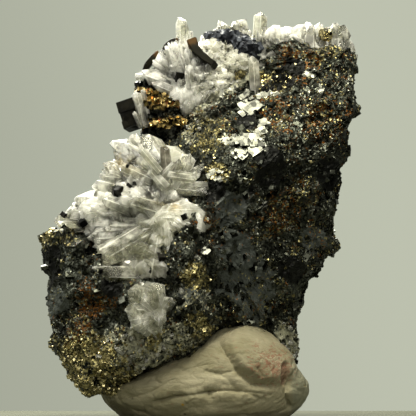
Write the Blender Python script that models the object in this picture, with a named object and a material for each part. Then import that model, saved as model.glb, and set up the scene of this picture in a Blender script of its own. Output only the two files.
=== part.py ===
"""Quartz crystals and pyrite on a dark sulphide matrix, stood upright in a pressed lump of putty.

The camera side is -Y, +X is to the right and +Z is up. The surface that the putty stands on is z = 0.
All driving sizes are in millimetres and become metres when a mesh is made.
"""

import math

import bmesh
import bpy
import numpy as np
from mathutils import Matrix, Vector

MM = 0.001
GAP = 0.35  # clear space between a piece and the neighbour that it is seated on
WELD = 0.02  # points closer than this become one

# The matrix as seen from the front: its outline (x, z), clockwise from the left shoulder.
MATRIX_OUTLINE = [
    (-28.3, 32.2), (-27.2, 33.1), (-25.2, 33.7), (-22.5, 35.1), (-18.9, 38.2), (-15.8, 42.7),
    (-12.6, 48.1), (-11.2, 52.0), (-9.7, 56.5), (-8.1, 60.0), (-4.5, 62.5), (0.0, 63.6),
    (5.4, 64.4), (10.8, 64.6), (18.0, 64.8), (23.4, 66.0), (25.9, 67.2), (27.0, 66.6),
    (27.5, 64.2), (27.2, 61.6), (27.3, 58.0), (28.1, 55.3), (27.2, 53.1),
    (25.9, 51.5), (25.9, 48.8), (26.3, 46.6), (25.4, 44.1), (25.0, 41.8), (24.2, 36.9),
    (24.0, 33.8), (24.8, 30.4), (23.8, 29.3), (21.9, 28.6), (21.9, 26.8), (20.6, 25.2),
    (18.9, 24.5), (18.4, 21.8), (17.7, 19.3), (16.9, 16.6), (17.4, 13.7), (17.0, 11.9),
    (16.9, 9.9), (15.0, 11.7), (12.6, 13.9), (9.9, 15.3), (7.2, 16.4), (4.7, 16.6),
    (2.7, 15.7), (1.3, 13.9), (-0.5, 12.2), (-2.7, 10.8), (-6.3, 9.5), (-9.9, 8.5),
    (-13.0, 6.1), (-15.8, 5.2), (-18.6, 4.6), (-21.0, 5.2), (-22.6, 5.9), (-23.7, 7.9),
    (-24.6, 10.2), (-25.1, 12.1), (-25.6, 15.1), (-26.6, 21.1), (-27.4, 27.9), (-27.7, 30.1),
]
MATRIX_CENTRE = (0.0, 36.4)
MATRIX_RINGS = 13  # from the middle of a face to the rim; the outermost has eight times as many points
RIM_SQUARENESS = 6.0
RIM_STRETCH = 1.9  # how much more a step towards the rim counts than the same step in depth
RIM_TURN = 8  # a high power keeps the relief facing forwards until close to the rim

# A broken face of the matrix is a plane: x, z, the depth y there, and the slopes dy/dx and dy/dz.
CRYSTAL_FACE = (0.9, 40.9, -14.0, -1.0, 0.49)
UPPER_BREAK = (7.2, 57.0, -8.0, -0.03, 0.63)
SHADOW_BREAK = (2.7, 34.6, -16.0, 0.58, -0.435)
BLOCK_FRONT = (-3.0, 30.0, -17.0, -0.2, -0.07)
BLOCK_LEFT = (-25.5, 25.0, -12.5, -1.8, 0.0)
BLOCK_RIGHT = (-1.5, 20.0, -17.0, 1.0, -0.15)
CRYSTAL_FACE_LIMIT = 2.5  # the crystal face goes no further back than this
BACK_FACES = [
    (0.0, 35.0, 16.0, 0.05, -0.08),
    (12.0, 35.0, 14.0, -0.75, 0.0),
    (-12.0, 35.0, 15.0, 0.35, -0.2),
    (0.0, 55.0, 14.0, 0.0, -0.5),
    (0.0, 12.0, 12.0, 0.0, 0.5),
]
# The ledge where the front block ends and the crystal face begins behind it: x, z.
LEDGE_LINE = [(-30.0, 33.5), (-24.0, 33.3), (-18.5, 30.5), (-13.5, 24.5), (-8.0, 27.0), (-3.0, 34.0), (2.0, 38.0)]
LEDGE_SOFTNESS = 1.6
# Broken facets of the matrix: cell size, tilt and step, each pair from coarse to fine.
MATRIX_FACETS = [(9.0, 1.5, 0.5, 11), (3.6, 0.7, 0.3, 23)]

# Large quartz crystals: base (x, y, z), tip (x, y, z), half width, flatness.
MIDDLE_CRYSTALS = [
    ((-5.8, -11.5, 34.3), (-17.8, -12.3, 27.3), 2.8, 0.7),
    ((-5.9, -12.6, 24.8), (-18.8, -13.0, 25.2), 2.0, 0.75),
    ((-4.9, -10.5, 41.0), (-15.4, -1.8, 49.5), 2.4, 0.75),
    ((-4.9, -10.5, 41.4), (-10.2, -3.6, 50.9), 2.3, 0.75),
    ((-4.9, -10.5, 38.9), (-17.5, -3.6, 45.2), 2.3, 0.8),
    ((-5.6, -10.5, 37.5), (-19.5, -3.4, 41.7), 2.2, 0.8),
    ((-7.0, -10.2, 36.2), (-22.3, -3.0, 38.3), 2.1, 0.8),
    ((-8.8, -8.5, 34.5), (-24.5, -2.4, 36.7), 1.7, 0.85),
    ((-7.0, -10.8, 32.6), (-20.9, -6.2, 33.6), 2.2, 0.8),
    ((-6.1, -11.8, 31.2), (-19.0, -9.0, 31.0), 2.0, 0.8),
    ((-5.2, -12.0, 39.9), (1.7, -15.2, 39.1), 1.35, 0.6),
    ((-4.9, -11.5, 40.3), (-1.9, -13.8, 45.6), 0.9, 0.8),
    ((-4.9, -11.0, 40.0), (1.2, -12.6, 44.0), 1.2, 0.7),
    ((-3.8, -11.5, 40.3), (-9.5, -10.5, 46.7), 1.5, 0.75),
    ((-4.9, -12.5, 35.5), (-12.6, -12.0, 37.9), 1.8, 0.7),
    ((-7.0, -13.2, 27.2), (-12.8, -14.2, 30.3), 1.8, 0.75),
]
UPPER_CRYSTALS = [
    ((-2.8, -1.0, 61.0), (-3.3, 0.2, 72.4), 1.1, 0.85),
    ((-1.7, -0.6, 61.0), (-1.9, 0.3, 70.2), 0.5, 0.9),
    ((-1.8, -1.6, 59.0), (-10.6, -2.2, 62.2), 1.7, 0.75),
    ((-2.1, -2.0, 59.7), (-7.7, -2.6, 65.5), 1.6, 0.8),
    ((-1.8, -2.2, 60.0), (-5.4, -2.4, 67.3), 1.35, 0.8),
    ((-0.6, -4.0, 59.1), (-1.6, -6.6, 64.0), 1.6, 0.8),
    ((-0.7, -4.0, 58.4), (1.4, -7.0, 62.7), 1.5, 0.8),
    ((-2.5, -2.4, 57.7), (-8.6, -4.0, 60.1), 1.5, 0.8),
    ((-4.3, -1.0, 60.2), (-11.8, -1.0, 61.2), 0.55, 0.9),
    ((-0.4, -5.6, 56.0), (-2.8, -8.8, 58.8), 1.5, 0.8),
    ((1.1, -5.0, 56.4), (2.5, -8.0, 59.6), 1.4, 0.8),
]
TOP_CRYSTALS = [
    ((10.5, 2.0, 64.9), (11.0, 1.0, 73.5), 1.1, 0.8),
    ((4.7, 1.5, 64.5), (4.3, 0.5, 71.9), 1.8, 0.8),
    ((7.6, 2.0, 64.5), (7.4, 1.2, 72.2), 1.6, 0.8),
    ((13.7, 2.0, 64.5), (13.5, 0.2, 71.0), 2.0, 0.8),
    ((17.7, 2.0, 64.9), (18.0, 0.0, 71.1), 2.0, 0.8),
    ((21.3, 2.0, 65.3), (21.6, 0.5, 71.5), 1.9, 0.8),
    ((24.2, 1.6, 65.6), (24.7, 0.5, 71.4), 1.8, 0.85),
    ((11.9, 1.0, 64.0), (9.6, -4.2, 67.2), 1.7, 0.8),
    ((18.0, 1.0, 64.4), (15.5, -3.6, 67.3), 1.8, 0.8),
    ((14.0, 0.0, 63.5), (12.8, -4.4, 65.8), 1.4, 0.8),
]
LOWER_CRYSTALS = [
    ((-6.9, -14.0, 17.5), (-12.4, -17.6, 22.9), 2.1, 0.8),
    ((-7.3, -14.0, 16.8), (-8.2, -18.2, 23.6), 1.9, 0.8),
    ((-7.3, -14.0, 18.0), (-12.7, -18.4, 18.6), 1.9, 0.8),
    ((-6.9, -14.0, 18.5), (-8.8, -18.0, 15.1), 1.8, 0.8),
    ((-7.3, -14.0, 17.5), (-4.8, -17.2, 21.2), 1.4, 0.8),
]
# The pointed end of a crystal: its length as a share of the half width, its greatest share of the crystal, how wide
# the shoulder under it is and how far its point stands to one side, as shares of the half width; then the turn that
# each further crystal of a cluster adds, in radians.
POINT_LENGTH, POINT_LIMIT, SHOULDER_SIZE, POINT_SHIFT = 1.0, 0.45, 0.88, 0.35
CRYSTAL_TURN = 0.4
# Beds of massive quartz that the crystals of a cluster grow from: centre, half sizes, the way the third one points.
MIDDLE_BEDS = [
    ((-9.0, -6.5, 41.0), (10.0, 7.0, 3.4), (-0.64, -0.64, 0.43)),
    ((-16.0, -1.5, 37.0), (9.0, 4.5, 3.2), (-0.4, -0.6, 0.7)),
    ((-5.5, -12.0, 33.5), (7.5, 5.5, 3.2), (-0.5, -0.8, 0.3)),
    ((-9.5, -12.0, 27.0), (5.5, 4.0, 3.0), (-0.5, -0.8, 0.3)),
]
UPPER_BEDS = [
    ((-1.0, -1.0, 59.0), (6.0, 5.5, 3.5), (-0.5, -0.6, 0.6)),
    ((3.5, -5.5, 54.5), (4.5, 4.0, 2.6), (-0.3, -0.8, 0.5)),
    ((2.9, -1.6, 65.2), (3.2, 2.6, 2.2), (-0.1, -0.8, 0.5)),
]
TOP_BEDS = [
    ((9.0, 1.5, 64.6), (7.0, 5.5, 2.8), (0.0, -0.4, 0.9)),
    ((19.5, 1.0, 65.6), (8.0, 5.0, 2.8), (-0.05, -0.4, 0.9)),
]
LOWER_BEDS = [((-9.0, -15.3, 19.2), (3.4, 4.4, 2.6), (-0.3, -0.95, 0.1))]
BED_FACETS = (3.0, 0.8, 0.4, 77)  # cell size, tilt, step and salt of their skin
# Small crystals that fill each bed: count, where they start, how far apart, the way they lean, length, half width, seed.
FILL = {
    "middle": (16, (-11.0, -4.5, 39.5), (8.0, 2.2, 9.0), (-0.75, -0.4, 0.5), (3.2, 5.6), (0.8, 1.5), 41),
    "upper": (10, (-1.0, -2.0, 60.0), (4.0, 1.5, 3.5), (-0.55, -0.6, 0.6), (3.6, 5.6), (0.7, 1.1), 42),
    "top": (10, (15.0, 0.5, 66.0), (9.5, 1.6, 0.6), (0.0, -0.5, 0.85), (2.4, 3.8), (0.7, 1.2), 43),
    "lower": (4, (-8.6, -15.3, 19.0), (2.0, 0.6, 2.6), (-0.3, -0.95, 0.2), (3.0, 4.0), (0.8, 1.2), 44),
}
FILL_DISORDER = 0.38

# Striated pyrite block at the left edge: centre, half sizes, turn about Y and Z in degrees.
PYRITE_BLOCK = ((-11.8, 0.6, 54.8), (2.4, 3.0, 2.5), -18.0, -8.0)
# Its steps: height as a share of the half height, and how wide it is there.
BLOCK_LEVELS = [(-1.0, 1.0), (-0.45, 1.0), (-0.45, 0.94), (0.2, 0.94), (0.2, 1.0), (1.0, 0.97)]
# Brassy pyrite cluster beside it, as overlapping cubes: centre, half size, turn in degrees.
PYRITE_CLUSTER = [
    ((-8.6, -0.8, 57.4), 1.9, 15.0), ((-6.4, -1.2, 57.0), 2.0, 40.0), ((-4.6, -2.0, 56.2), 1.9, 62.0),
    ((-9.0, -0.6, 55.2), 1.6, 70.0), ((-8.0, -1.2, 52.6), 1.7, 30.0), ((-5.8, -2.4, 52.4), 1.9, 10.0),
    ((-3.9, -3.6, 52.4), 1.6, 48.0), ((-6.8, -1.0, 54.6), 1.8, 25.0),
    ((-8.8, -0.4, 59.4), 1.3, 30.0), ((-10.5, 0.2, 59.4), 1.1, 15.0),
]
# Cubes of galena that stand on the top edge between the two white clusters.
GALENA_CLUSTER = [
    ((2.0, -1.0, 68.2), 1.1, 12.0), ((3.8, -1.4, 68.3), 1.2, 30.0), ((5.6, -1.6, 68.2), 1.3, 8.0),
    ((7.0, -2.0, 67.2), 1.6, 35.0), ((8.4, -2.6, 65.7), 1.9, 20.0), ((7.7, -3.0, 64.4), 1.5, 50.0),
]
CUBE_CORNER = 0.55  # how much of a cube's corners is cut off, as a share of its half size
CUBE_TIP = (0.6, 12.0)  # a cube tips forwards by this share of its turn and by this many degrees
# Single pyrite crystals: name, centre, half size, turn in degrees.
SINGLE_PYRITES = [
    ("pyrite_crystal_upper", (-3.6, -4.1, 60.9), 0.9, 20.0),
    ("pyrite_crystal_left", (-20.7, -3.8, 34.8), 0.85, 40.0),
    ("pyrite_crystal_middle", (-14.3, -7.8, 39.9), 1.05, 10.0),
    ("pyrite_crystal_lower", (-6.8, -14.3, 28.0), 0.9, 33.0),
    ("pyrite_crystal_top", (22.7, -0.8, 69.0), 0.95, 25.0),
    ("pyrite_crystal_centre", (7.3, -5.2, 61.1), 0.9, 55.0),
]
# Curved dark blades at the upper left: name, centreline (x, y, z), width, thickness at its start and at its end.
DARK_BLADES = [
    ("dark_blade_right", [(-1.4, -5.5, 67.0), (-0.9, -6.0, 65.5), (0.3, -6.6, 64.3), (1.6, -7.2, 63.2), (2.6, -7.6, 62.5)],
     3.0, (1.5, 0.8)),
    ("dark_blade_middle", [(-6.5, 0.6, 66.0), (-6.0, 0.3, 67.2), (-5.1, 0.2, 67.9), (-4.0, 0.6, 68.0)], 2.8, (1.0, 0.8)),
    ("dark_blade_left", [(-10.1, 0.6, 62.3), (-9.5, 0.0, 63.5), (-8.7, -0.4, 64.5), (-7.6, 0.0, 65.4)], 2.8, (0.9, 1.3)),
]
BLADE_ROWS = 9
BLADE_EDGE = 0.6  # how far its flat side goes before the edge is cut off, as a share of half the width or thickness

# The putty: a lump whose foot is flat, bulging above it and drawn up to a lobe under the specimen.
PUTTY_CENTRE = (0.4, 1.0)
PUTTY_FOOT = (15.0, 11.0)
PUTTY_BULGE = (18.8, 14.0)
PUTTY_BULGE_HEIGHT = 5.0
PUTTY_SQUARENESS = 2.8
PUTTY_COLUMNS = 28
PUTTY_ROWS = 9
PUTTY_RIDGE = [
    (-18.5, 5.6), (-12.0, 7.6), (-6.0, 10.6), (0.0, 14.2), (4.5, 16.6),
    (8.0, 16.8), (12.0, 15.4), (16.0, 13.0), (19.0, 9.5),
]
PUTTY_SWELLS = [(0.02, 3, 0.7), (0.015, 5, 2.0)]  # waves round it: size, how many, where they start in radians
PUTTY_FOOT_SHARES = (0.5, 1.0)  # rings on the flat foot, as shares of its size
PUTTY_CLIMBS = (0.25, 0.6)  # rings between the foot and the bulge, as shares of the bulge's height
PUTTY_SMOOTH_ANGLE = 35  # degrees; a sharper edge of the putty stays sharp

MATERIALS = {
    "sulphide": ("#26272a", 0.38, 0.75),
    "pyrite": ("#a8894a", 0.3, 1.0),
    "dark_pyrite": ("#2b2a22", 0.42, 0.85),
    "galena": ("#5c606a", 0.32, 0.9),
    "blade": ("#3a352c", 0.5, 0.5),
    "quartz": ("#e6e5da", 0.15, 0.0),
    "putty": ("#a39b86", 0.75, 0.0),
}


def linear(channel):
    """One sRGB channel, 0 to 1, as linear light."""
    return channel / 12.92 if channel <= 0.04045 else ((channel + 0.055) / 1.055) ** 2.4


def material(name):
    """The Principled material of that name, made once."""
    found = bpy.data.materials.get(name)
    if found:
        return found
    colour, roughness, metallic = MATERIALS[name]
    made = bpy.data.materials.new(name)
    made.use_nodes = True
    shader = made.node_tree.nodes["Principled BSDF"]
    rgb = [linear(int(colour[i : i + 2], 16) / 255) for i in (1, 3, 5)]
    shader.inputs["Base Color"].default_value = (*rgb, 1.0)
    shader.inputs["Roughness"].default_value = roughness
    shader.inputs["Metallic"].default_value = metallic
    if name == "quartz":
        shader.inputs["Transmission Weight"].default_value = 0.8
        shader.inputs["IOR"].default_value = 1.544
    made.diffuse_color = (*rgb, 1.0)
    return made


def new_object(name, points_mm, faces, finish):
    """A linked mesh object from points in millimetres."""
    mesh = bpy.data.meshes.new(name)
    mesh.from_pydata((np.asarray(points_mm, float) * MM).tolist(), [], [list(map(int, f)) for f in faces])
    mesh.update()
    made = bpy.data.objects.new(name, mesh)
    bpy.context.scene.collection.objects.link(made)
    if finish:
        mesh.materials.append(material(finish))
    return made


def hashed(ix, iy, iz, salt):
    """A repeatable number from 0 to 1 for each lattice cell."""
    mixed = (
        ix.astype(np.int64) * 374761393
        + iy.astype(np.int64) * 668265263
        + iz.astype(np.int64) * 1440662683
        + salt * 1274126177
    ) & 0xFFFFFFFF
    mixed = ((mixed ^ (mixed >> 13)) * 1103515245) & 0xFFFFFFFF
    mixed = ((mixed ^ (mixed >> 15)) * 1597334677) & 0xFFFFFFFF
    return ((mixed ^ (mixed >> 16)) & 0xFFFFFF) / float(0x1000000)


def facet_relief(points, size, tilt, step, salt):
    """Height that breaks a surface into tilted flat facets, one for each random cell of the given size."""
    scaled = points / size
    home = np.floor(scaled)
    best = np.full(len(points), 1e9)
    relief = np.zeros(len(points))
    for dx in (-1, 0, 1):
        for dy in (-1, 0, 1):
            for dz in (-1, 0, 1):
                cell = home + (dx, dy, dz)
                ix, iy, iz = cell.T
                seed = cell + np.stack([hashed(ix, iy, iz, salt + k) for k in range(3)], axis=1)
                away = scaled - seed
                distance = (away**2).sum(axis=1)
                lean = np.stack([hashed(ix, iy, iz, salt + k) for k in (3, 4, 5)], axis=1) * 2 - 1
                level = hashed(ix, iy, iz, salt + 6) * 2 - 1
                height = tilt * (lean * away).sum(axis=1) + step * level
                nearer = distance < best
                best = np.where(nearer, distance, best)
                relief = np.where(nearer, height, relief)
    return relief


def on_outline(outline, share):
    """Points at the given shares, 0 to 1, of the way round a closed outline."""
    corners = np.array(outline + outline[:1], float)
    run = np.concatenate([[0.0], np.cumsum(np.linalg.norm(np.diff(corners, axis=0), axis=1))])
    at = (share % 1.0) * run[-1]
    return np.stack([np.interp(at, run, corners[:, k]) for k in (0, 1)], axis=-1)


def face_depth(x, z, face):
    """Depth y of a broken face at (x, z)."""
    x0, z0, y0, slope_x, slope_z = face
    return y0 + slope_x * (x - x0) + slope_z * (z - z0)


def front_depth(x, z):
    """Depth of the front: three broken faces of the slab, and the block that stands forward at the lower left."""
    crystal_face = np.minimum(face_depth(x, z, CRYSTAL_FACE), CRYSTAL_FACE_LIMIT)
    slab = np.maximum(crystal_face, face_depth(x, z, UPPER_BREAK))
    slab = np.maximum(slab, face_depth(x, z, SHADOW_BREAK))
    block = np.maximum(face_depth(x, z, BLOCK_FRONT), face_depth(x, z, BLOCK_LEFT))
    block = np.maximum(block, face_depth(x, z, BLOCK_RIGHT))
    ledge = np.array(LEDGE_LINE)
    below = (np.interp(x, ledge[:, 0], ledge[:, 1]) - z) / LEDGE_SOFTNESS
    share = np.clip(0.5 + below, 0.0, 1.0)
    share = share * share * (3 - 2 * share)
    return slab + (np.minimum(block, slab) - slab) * share


def back_depth(x, z):
    """Depth of the back, the nearest of its broken faces."""
    return np.min([face_depth(x, z, face) for face in BACK_FACES], axis=0)


def wall_profile(rings):
    """Radius share and lift share from the middle of a face (0, 1) to the rim (1, 0), evenly spaced along the curve."""
    angle = np.linspace(math.pi / 2, 0.0, 400)
    radius = np.cos(angle) ** (2 / RIM_SQUARENESS)
    lift = np.sin(angle) ** (2 / RIM_SQUARENESS)
    radius[0] = 0.0
    run = np.concatenate([[0.0], np.cumsum(np.hypot(np.diff(radius) * RIM_STRETCH, np.diff(lift)))])
    at = np.linspace(0.0, run[-1], rings + 1)
    return np.interp(at, run, radius), np.interp(at, run, lift)


def matrix_mesh(rings, swell=0.0):
    """The matrix: a front and a back, each a square grid pressed into the outline, that share their edge."""
    u, v = np.meshgrid(np.arange(-rings, rings + 1), np.arange(-rings, rings + 1), indexing="ij")
    ring = np.maximum(abs(u), abs(v))
    within = np.maximum(ring, 1)
    side = np.where(u > 0, v / within, 4 - v / within)
    turn = np.where(abs(u) >= abs(v), side, np.where(v > 0, 2 - u / within, 6 + u / within))
    radius, lift = wall_profile(rings)
    share, rise = radius[ring], lift[ring]
    centre = np.array(MATRIX_CENTRE)
    rim = on_outline(MATRIX_OUTLINE, 1 - turn / 8)
    x, z = np.moveaxis(centre + (rim - centre) * share[..., None], -1, 0)
    rim_x, rim_z = rim[..., 0], rim[..., 1]
    rim_depth = 0.5 * (front_depth(rim_x, rim_z) + back_depth(rim_x, rim_z))
    away = rim - centre
    away /= np.linalg.norm(away, axis=-1)[..., None]
    spread = share**RIM_TURN
    index = np.arange(u.size).reshape(u.shape)
    inner = ring < rings
    back_index = index.copy()
    back_index[inner] = u.size + np.arange(inner.sum())
    points, ways = [], []
    for facing, goal, used in ((-1, front_depth(x, z), np.ones_like(inner)), (1, back_depth(x, z), inner)):
        y = rim_depth + (goal - rim_depth) * rise
        straight = facing * np.sqrt(1 - spread**2)
        points.append(np.stack([x, y, z], axis=-1)[used])
        ways.append(np.stack([away[..., 0] * spread, straight, away[..., 1] * spread], axis=-1)[used])
    points, ways = np.concatenate(points), np.concatenate(ways)
    relief = sum(facet_relief(points, *facets) for facets in MATRIX_FACETS)
    points = points + ways * (relief + swell)[:, None]
    faces = []
    for grid in (index, back_index):
        a, b, c, d = grid[:-1, :-1], grid[1:, :-1], grid[1:, 1:], grid[:-1, 1:]
        split = (u[:-1, :-1] >= 0) == (v[:-1, :-1] >= 0)
        for first, second in (((a, b, c), (a, c, d)), ((a, b, d), (b, c, d))):
            chosen = split if first[2] is c else ~split
            faces += np.stack(first, axis=-1)[chosen].tolist()
            faces += np.stack(second, axis=-1)[chosen].tolist()
    return points, faces


def facing_out(obj):
    """Turns every face of a closed mesh outwards."""
    work = bmesh.new()
    work.from_mesh(obj.data)
    bmesh.ops.recalc_face_normals(work, faces=work.faces)
    work.to_mesh(obj.data)
    work.free()
    return obj


def prism(base, tip, half_width, flatness, turn=0.0):
    """A six-sided quartz crystal from base to tip with a pointed end: its points and faces."""
    base, tip = Vector(base), Vector(tip)
    axis = tip - base
    length = axis.length
    frame = axis.to_track_quat("Z", "Y").to_matrix()
    shoulder = length - min(POINT_LENGTH * half_width, POINT_LIMIT * length)
    points = []
    for along, size in ((0.0, half_width), (shoulder, half_width * SHOULDER_SIZE)):
        for k in range(6):
            angle = turn + k * math.pi / 3
            corner = Vector((math.cos(angle) * size, math.sin(angle) * size * flatness, along))
            points.append(base + frame @ corner)
    points.append(base + frame @ Vector((half_width * POINT_SHIFT, 0.0, length)))
    faces = [(5, 4, 3, 2, 1, 0)]
    for k in range(6):
        after = (k + 1) % 6
        faces.append((k, after, 6 + after, 6 + k))
        faces.append((6 + k, 6 + after, 12))
    return [tuple(p) for p in points], faces


def bed(centre, half_sizes, way, grow=0.0):
    """A lump of massive quartz: an ellipsoid, flat along the given way, with a faceted skin."""
    work = bmesh.new()
    bmesh.ops.create_icosphere(work, subdivisions=2, radius=1.0)
    turned = Vector(way).to_track_quat("Z", "Y").to_matrix()
    points = np.array([turned @ Vector([a * (b + grow) for a, b in zip(v.co, half_sizes)]) for v in work.verts])
    ways = np.array([turned @ v.co for v in work.verts])
    faces = [tuple(v.index for v in f.verts) for f in work.faces]
    work.free()
    points = points + np.array(centre)
    points = points + ways * facet_relief(points, *BED_FACETS)[:, None]
    return points, faces


def fill_crystals(count, centre, spread, lean, lengths, widths, seed):
    """Small crystals scattered over a bed, leaning one way with some disorder."""
    draw = np.random.default_rng(seed)
    shells = []
    for _ in range(count):
        start = np.array(centre) + draw.uniform(-1, 1, 3) * spread
        way = np.array(lean) + draw.normal(0, FILL_DISORDER, 3)
        way /= np.linalg.norm(way)
        length = draw.uniform(*lengths)
        shells.append(prism(start, start + way * length, draw.uniform(*widths), draw.uniform(0.7, 0.95), draw.uniform(0, 1)))
    return shells


def cube_crystal(centre, half_size, turn, grow=0.0):
    """A pyrite or galena cube with cut corners, turned and tipped: its points and faces."""
    work = bmesh.new()
    bmesh.ops.create_cube(work, size=2 * (half_size + grow))
    bmesh.ops.bevel(work, geom=work.verts[:], offset=half_size * CUBE_CORNER, affect="VERTICES", segments=1)
    tip = CUBE_TIP[0] * turn + CUBE_TIP[1]
    turned = Matrix.Rotation(math.radians(turn), 3, "Z") @ Matrix.Rotation(math.radians(tip), 3, "X")
    work.verts.index_update()
    points = [tuple(turned @ v.co + Vector(centre)) for v in work.verts]
    faces = [tuple(v.index for v in f.verts) for f in work.faces]
    work.free()
    return points, faces


def block_crystal(grow=0.0):
    """The dark striated block: a box with stepped sides."""
    centre, half, turn_y, turn_z = PYRITE_BLOCK
    turned = Matrix.Rotation(math.radians(turn_z), 3, "Z") @ Matrix.Rotation(math.radians(turn_y), 3, "Y")
    points = []
    for level, size in BLOCK_LEVELS:
        for a, b in ((-1, -1), (1, -1), (1, 1), (-1, 1)):
            corner = Vector((a * (half[0] * size + grow), b * (half[1] * size + grow), level * (half[2] + grow)))
            points.append(tuple(turned @ corner + Vector(centre)))
    faces = [(3, 2, 1, 0), tuple(range(len(points) - 4, len(points)))]
    for row in range(len(BLOCK_LEVELS) - 1):
        for k in range(4):
            a, b = 4 * row + k, 4 * row + (k + 1) % 4
            faces.append((a, b, b + 4, a + 4))
    return points, faces


def blade(centreline, width, thickness, grow=0.0):
    """A curved plate: a rounded rectangle carried along its centreline, its width along the line of sight."""
    line = np.array(centreline, float)
    run = np.concatenate([[0.0], np.cumsum(np.linalg.norm(np.diff(line, axis=0), axis=1))])
    at = np.linspace(0.0, run[-1], BLADE_ROWS)
    path = np.stack([np.interp(at, run, line[:, k]) for k in range(3)], axis=1)
    path[1:-1] = 0.25 * path[:-2] + 0.5 * path[1:-1] + 0.25 * path[2:]
    along = np.gradient(path, axis=0)
    along /= np.linalg.norm(along, axis=1)[:, None]
    across = np.cross(along, (0.0, 1.0, 0.0))
    across /= np.linalg.norm(across, axis=1)[:, None]
    broad = np.cross(across, along)
    path[0] -= along[0] * grow
    path[-1] += along[-1] * grow
    flat = BLADE_EDGE
    corners = [(-1, -flat), (-flat, -1), (flat, -1), (1, -flat), (1, flat), (flat, 1), (-flat, 1), (-1, flat)]
    half_thick = np.linspace(*thickness, BLADE_ROWS) / 2 + grow
    half_wide = width / 2 + grow
    points = []
    for place, side, depth, thick in zip(path, across, broad, half_thick):
        points += [tuple(place + side * thick * a + depth * half_wide * b) for a, b in corners]
    size = len(corners)
    faces = [tuple(range(size - 1, -1, -1)), tuple(range(len(points) - size, len(points)))]
    for row in range(len(path) - 1):
        for k in range(size):
            a, b = size * row + k, size * row + (k + 1) % size
            faces.append((a, b, b + size, a + size))
    return points, faces


def putty_mesh():
    """The lump of putty: columns round it, rows from the flat foot over the bulge to the top."""
    ridge = np.array(PUTTY_RIDGE)
    centre = np.array(PUTTY_CENTRE)
    foot, bulge = np.array(PUTTY_FOOT), np.array(PUTTY_BULGE)
    angle = np.linspace(0.0, 2 * math.pi, PUTTY_COLUMNS, endpoint=False)
    around = np.stack([np.cos(angle), np.sin(angle)], axis=1)
    swell = 1 + sum(size * np.sin(count * angle + start) for size, count, start in PUTTY_SWELLS)
    around = around * swell[:, None]
    rows = [np.column_stack([centre + around * foot * share, np.zeros(PUTTY_COLUMNS)]) for share in PUTTY_FOOT_SHARES]
    for climb in PUTTY_CLIMBS:
        side = foot + (bulge - foot) * math.sin(climb * math.pi / 2)
        rows.append(np.column_stack([centre + around * side, np.full(PUTTY_COLUMNS, PUTTY_BULGE_HEIGHT * climb)]))
    for turn in np.linspace(0.0, math.pi / 2, PUTTY_ROWS, endpoint=False):
        place = centre + around * bulge * math.cos(turn) ** (2 / PUTTY_SQUARENESS)
        top = np.interp(place[:, 0], ridge[:, 0], ridge[:, 1])
        rise = math.sin(turn) ** (2 / PUTTY_SQUARENESS)
        rows.append(np.column_stack([place, PUTTY_BULGE_HEIGHT + (top - PUTTY_BULGE_HEIGHT) * rise]))
    top = float(np.interp(centre[0], ridge[:, 0], ridge[:, 1]))
    points = np.concatenate([[[*centre, 0.0]], *rows, [[*centre, top]]])
    faces = []
    for column in range(PUTTY_COLUMNS):
        after = (column + 1) % PUTTY_COLUMNS
        faces.append((0, 1 + after, 1 + column))
        last = 1 + (len(rows) - 1) * PUTTY_COLUMNS
        faces.append((len(points) - 1, last + column, last + after))
        for row in range(len(rows) - 1):
            a, b = 1 + row * PUTTY_COLUMNS + column, 1 + row * PUTTY_COLUMNS + after
            faces.append((a, b, b + PUTTY_COLUMNS, a + PUTTY_COLUMNS))
    return points, faces


def combine(target, other, operation):
    """Joins another closed mesh to the target, or cuts it away, and keeps the result as the target's mesh."""
    step = target.modifiers.new(operation.title(), "BOOLEAN")
    step.operation = operation
    step.object = other
    graph = bpy.context.evaluated_depsgraph_get()
    result = bpy.data.meshes.new_from_object(target.evaluated_get(graph))
    target.modifiers.clear()
    target.data = result


def merged(target):
    """Merges the points that a cut leaves almost together, as far as the surface stays closed."""
    for reach in (WELD, 0.3 * WELD, 0.0):
        work = bmesh.new()
        work.from_mesh(target.data)
        if reach:
            bmesh.ops.remove_doubles(work, verts=work.verts[:], dist=reach * MM)
            bmesh.ops.dissolve_degenerate(work, edges=work.edges[:], dist=reach * MM)
        bmesh.ops.triangulate(work, faces=work.faces[:])
        closed = all(len(edge.link_faces) == 2 for edge in work.edges)
        if closed or not reach:
            work.to_mesh(target.data)
        work.free()
        if closed:
            return


def keep_largest(target):
    """Drops the loose chips that a cut leaves, so that one closed body stays."""
    work = bmesh.new()
    work.from_mesh(target.data)
    unseen = set(work.verts)
    groups = []
    while unseen:
        group, front = set(), [unseen.pop()]
        while front:
            vertex = front.pop()
            group.add(vertex)
            fresh = {e.other_vert(vertex) for e in vertex.link_edges} & unseen
            unseen -= fresh
            front += list(fresh)
        groups.append(group)
    largest = max(groups, key=len)
    chips = [v for group in groups if group is not largest for v in group]
    bmesh.ops.delete(work, geom=chips, context="VERTS")
    work.to_mesh(target.data)
    work.free()


def seated(name, shells, finish, cutters):
    """One solid of overlapping shells, cut clear of its neighbours."""
    made = facing_out(new_object(name, *shells[0], finish))
    for shell in shells[1:]:
        grown = facing_out(new_object("grown_shell", *shell, None))
        combine(made, grown, "UNION")
        bpy.data.objects.remove(grown)
    for cutter in cutters:
        combine(made, cutter, "DIFFERENCE")
    merged(made)
    keep_largest(made)
    made.data.materials.clear()
    made.data.materials.append(material(finish))
    return made


def cutter(points, faces):
    """A helper solid that only cuts."""
    made = facing_out(new_object("cutter", points, faces, None))
    made.hide_render = True
    made.display_type = "WIRE"
    return made


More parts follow.
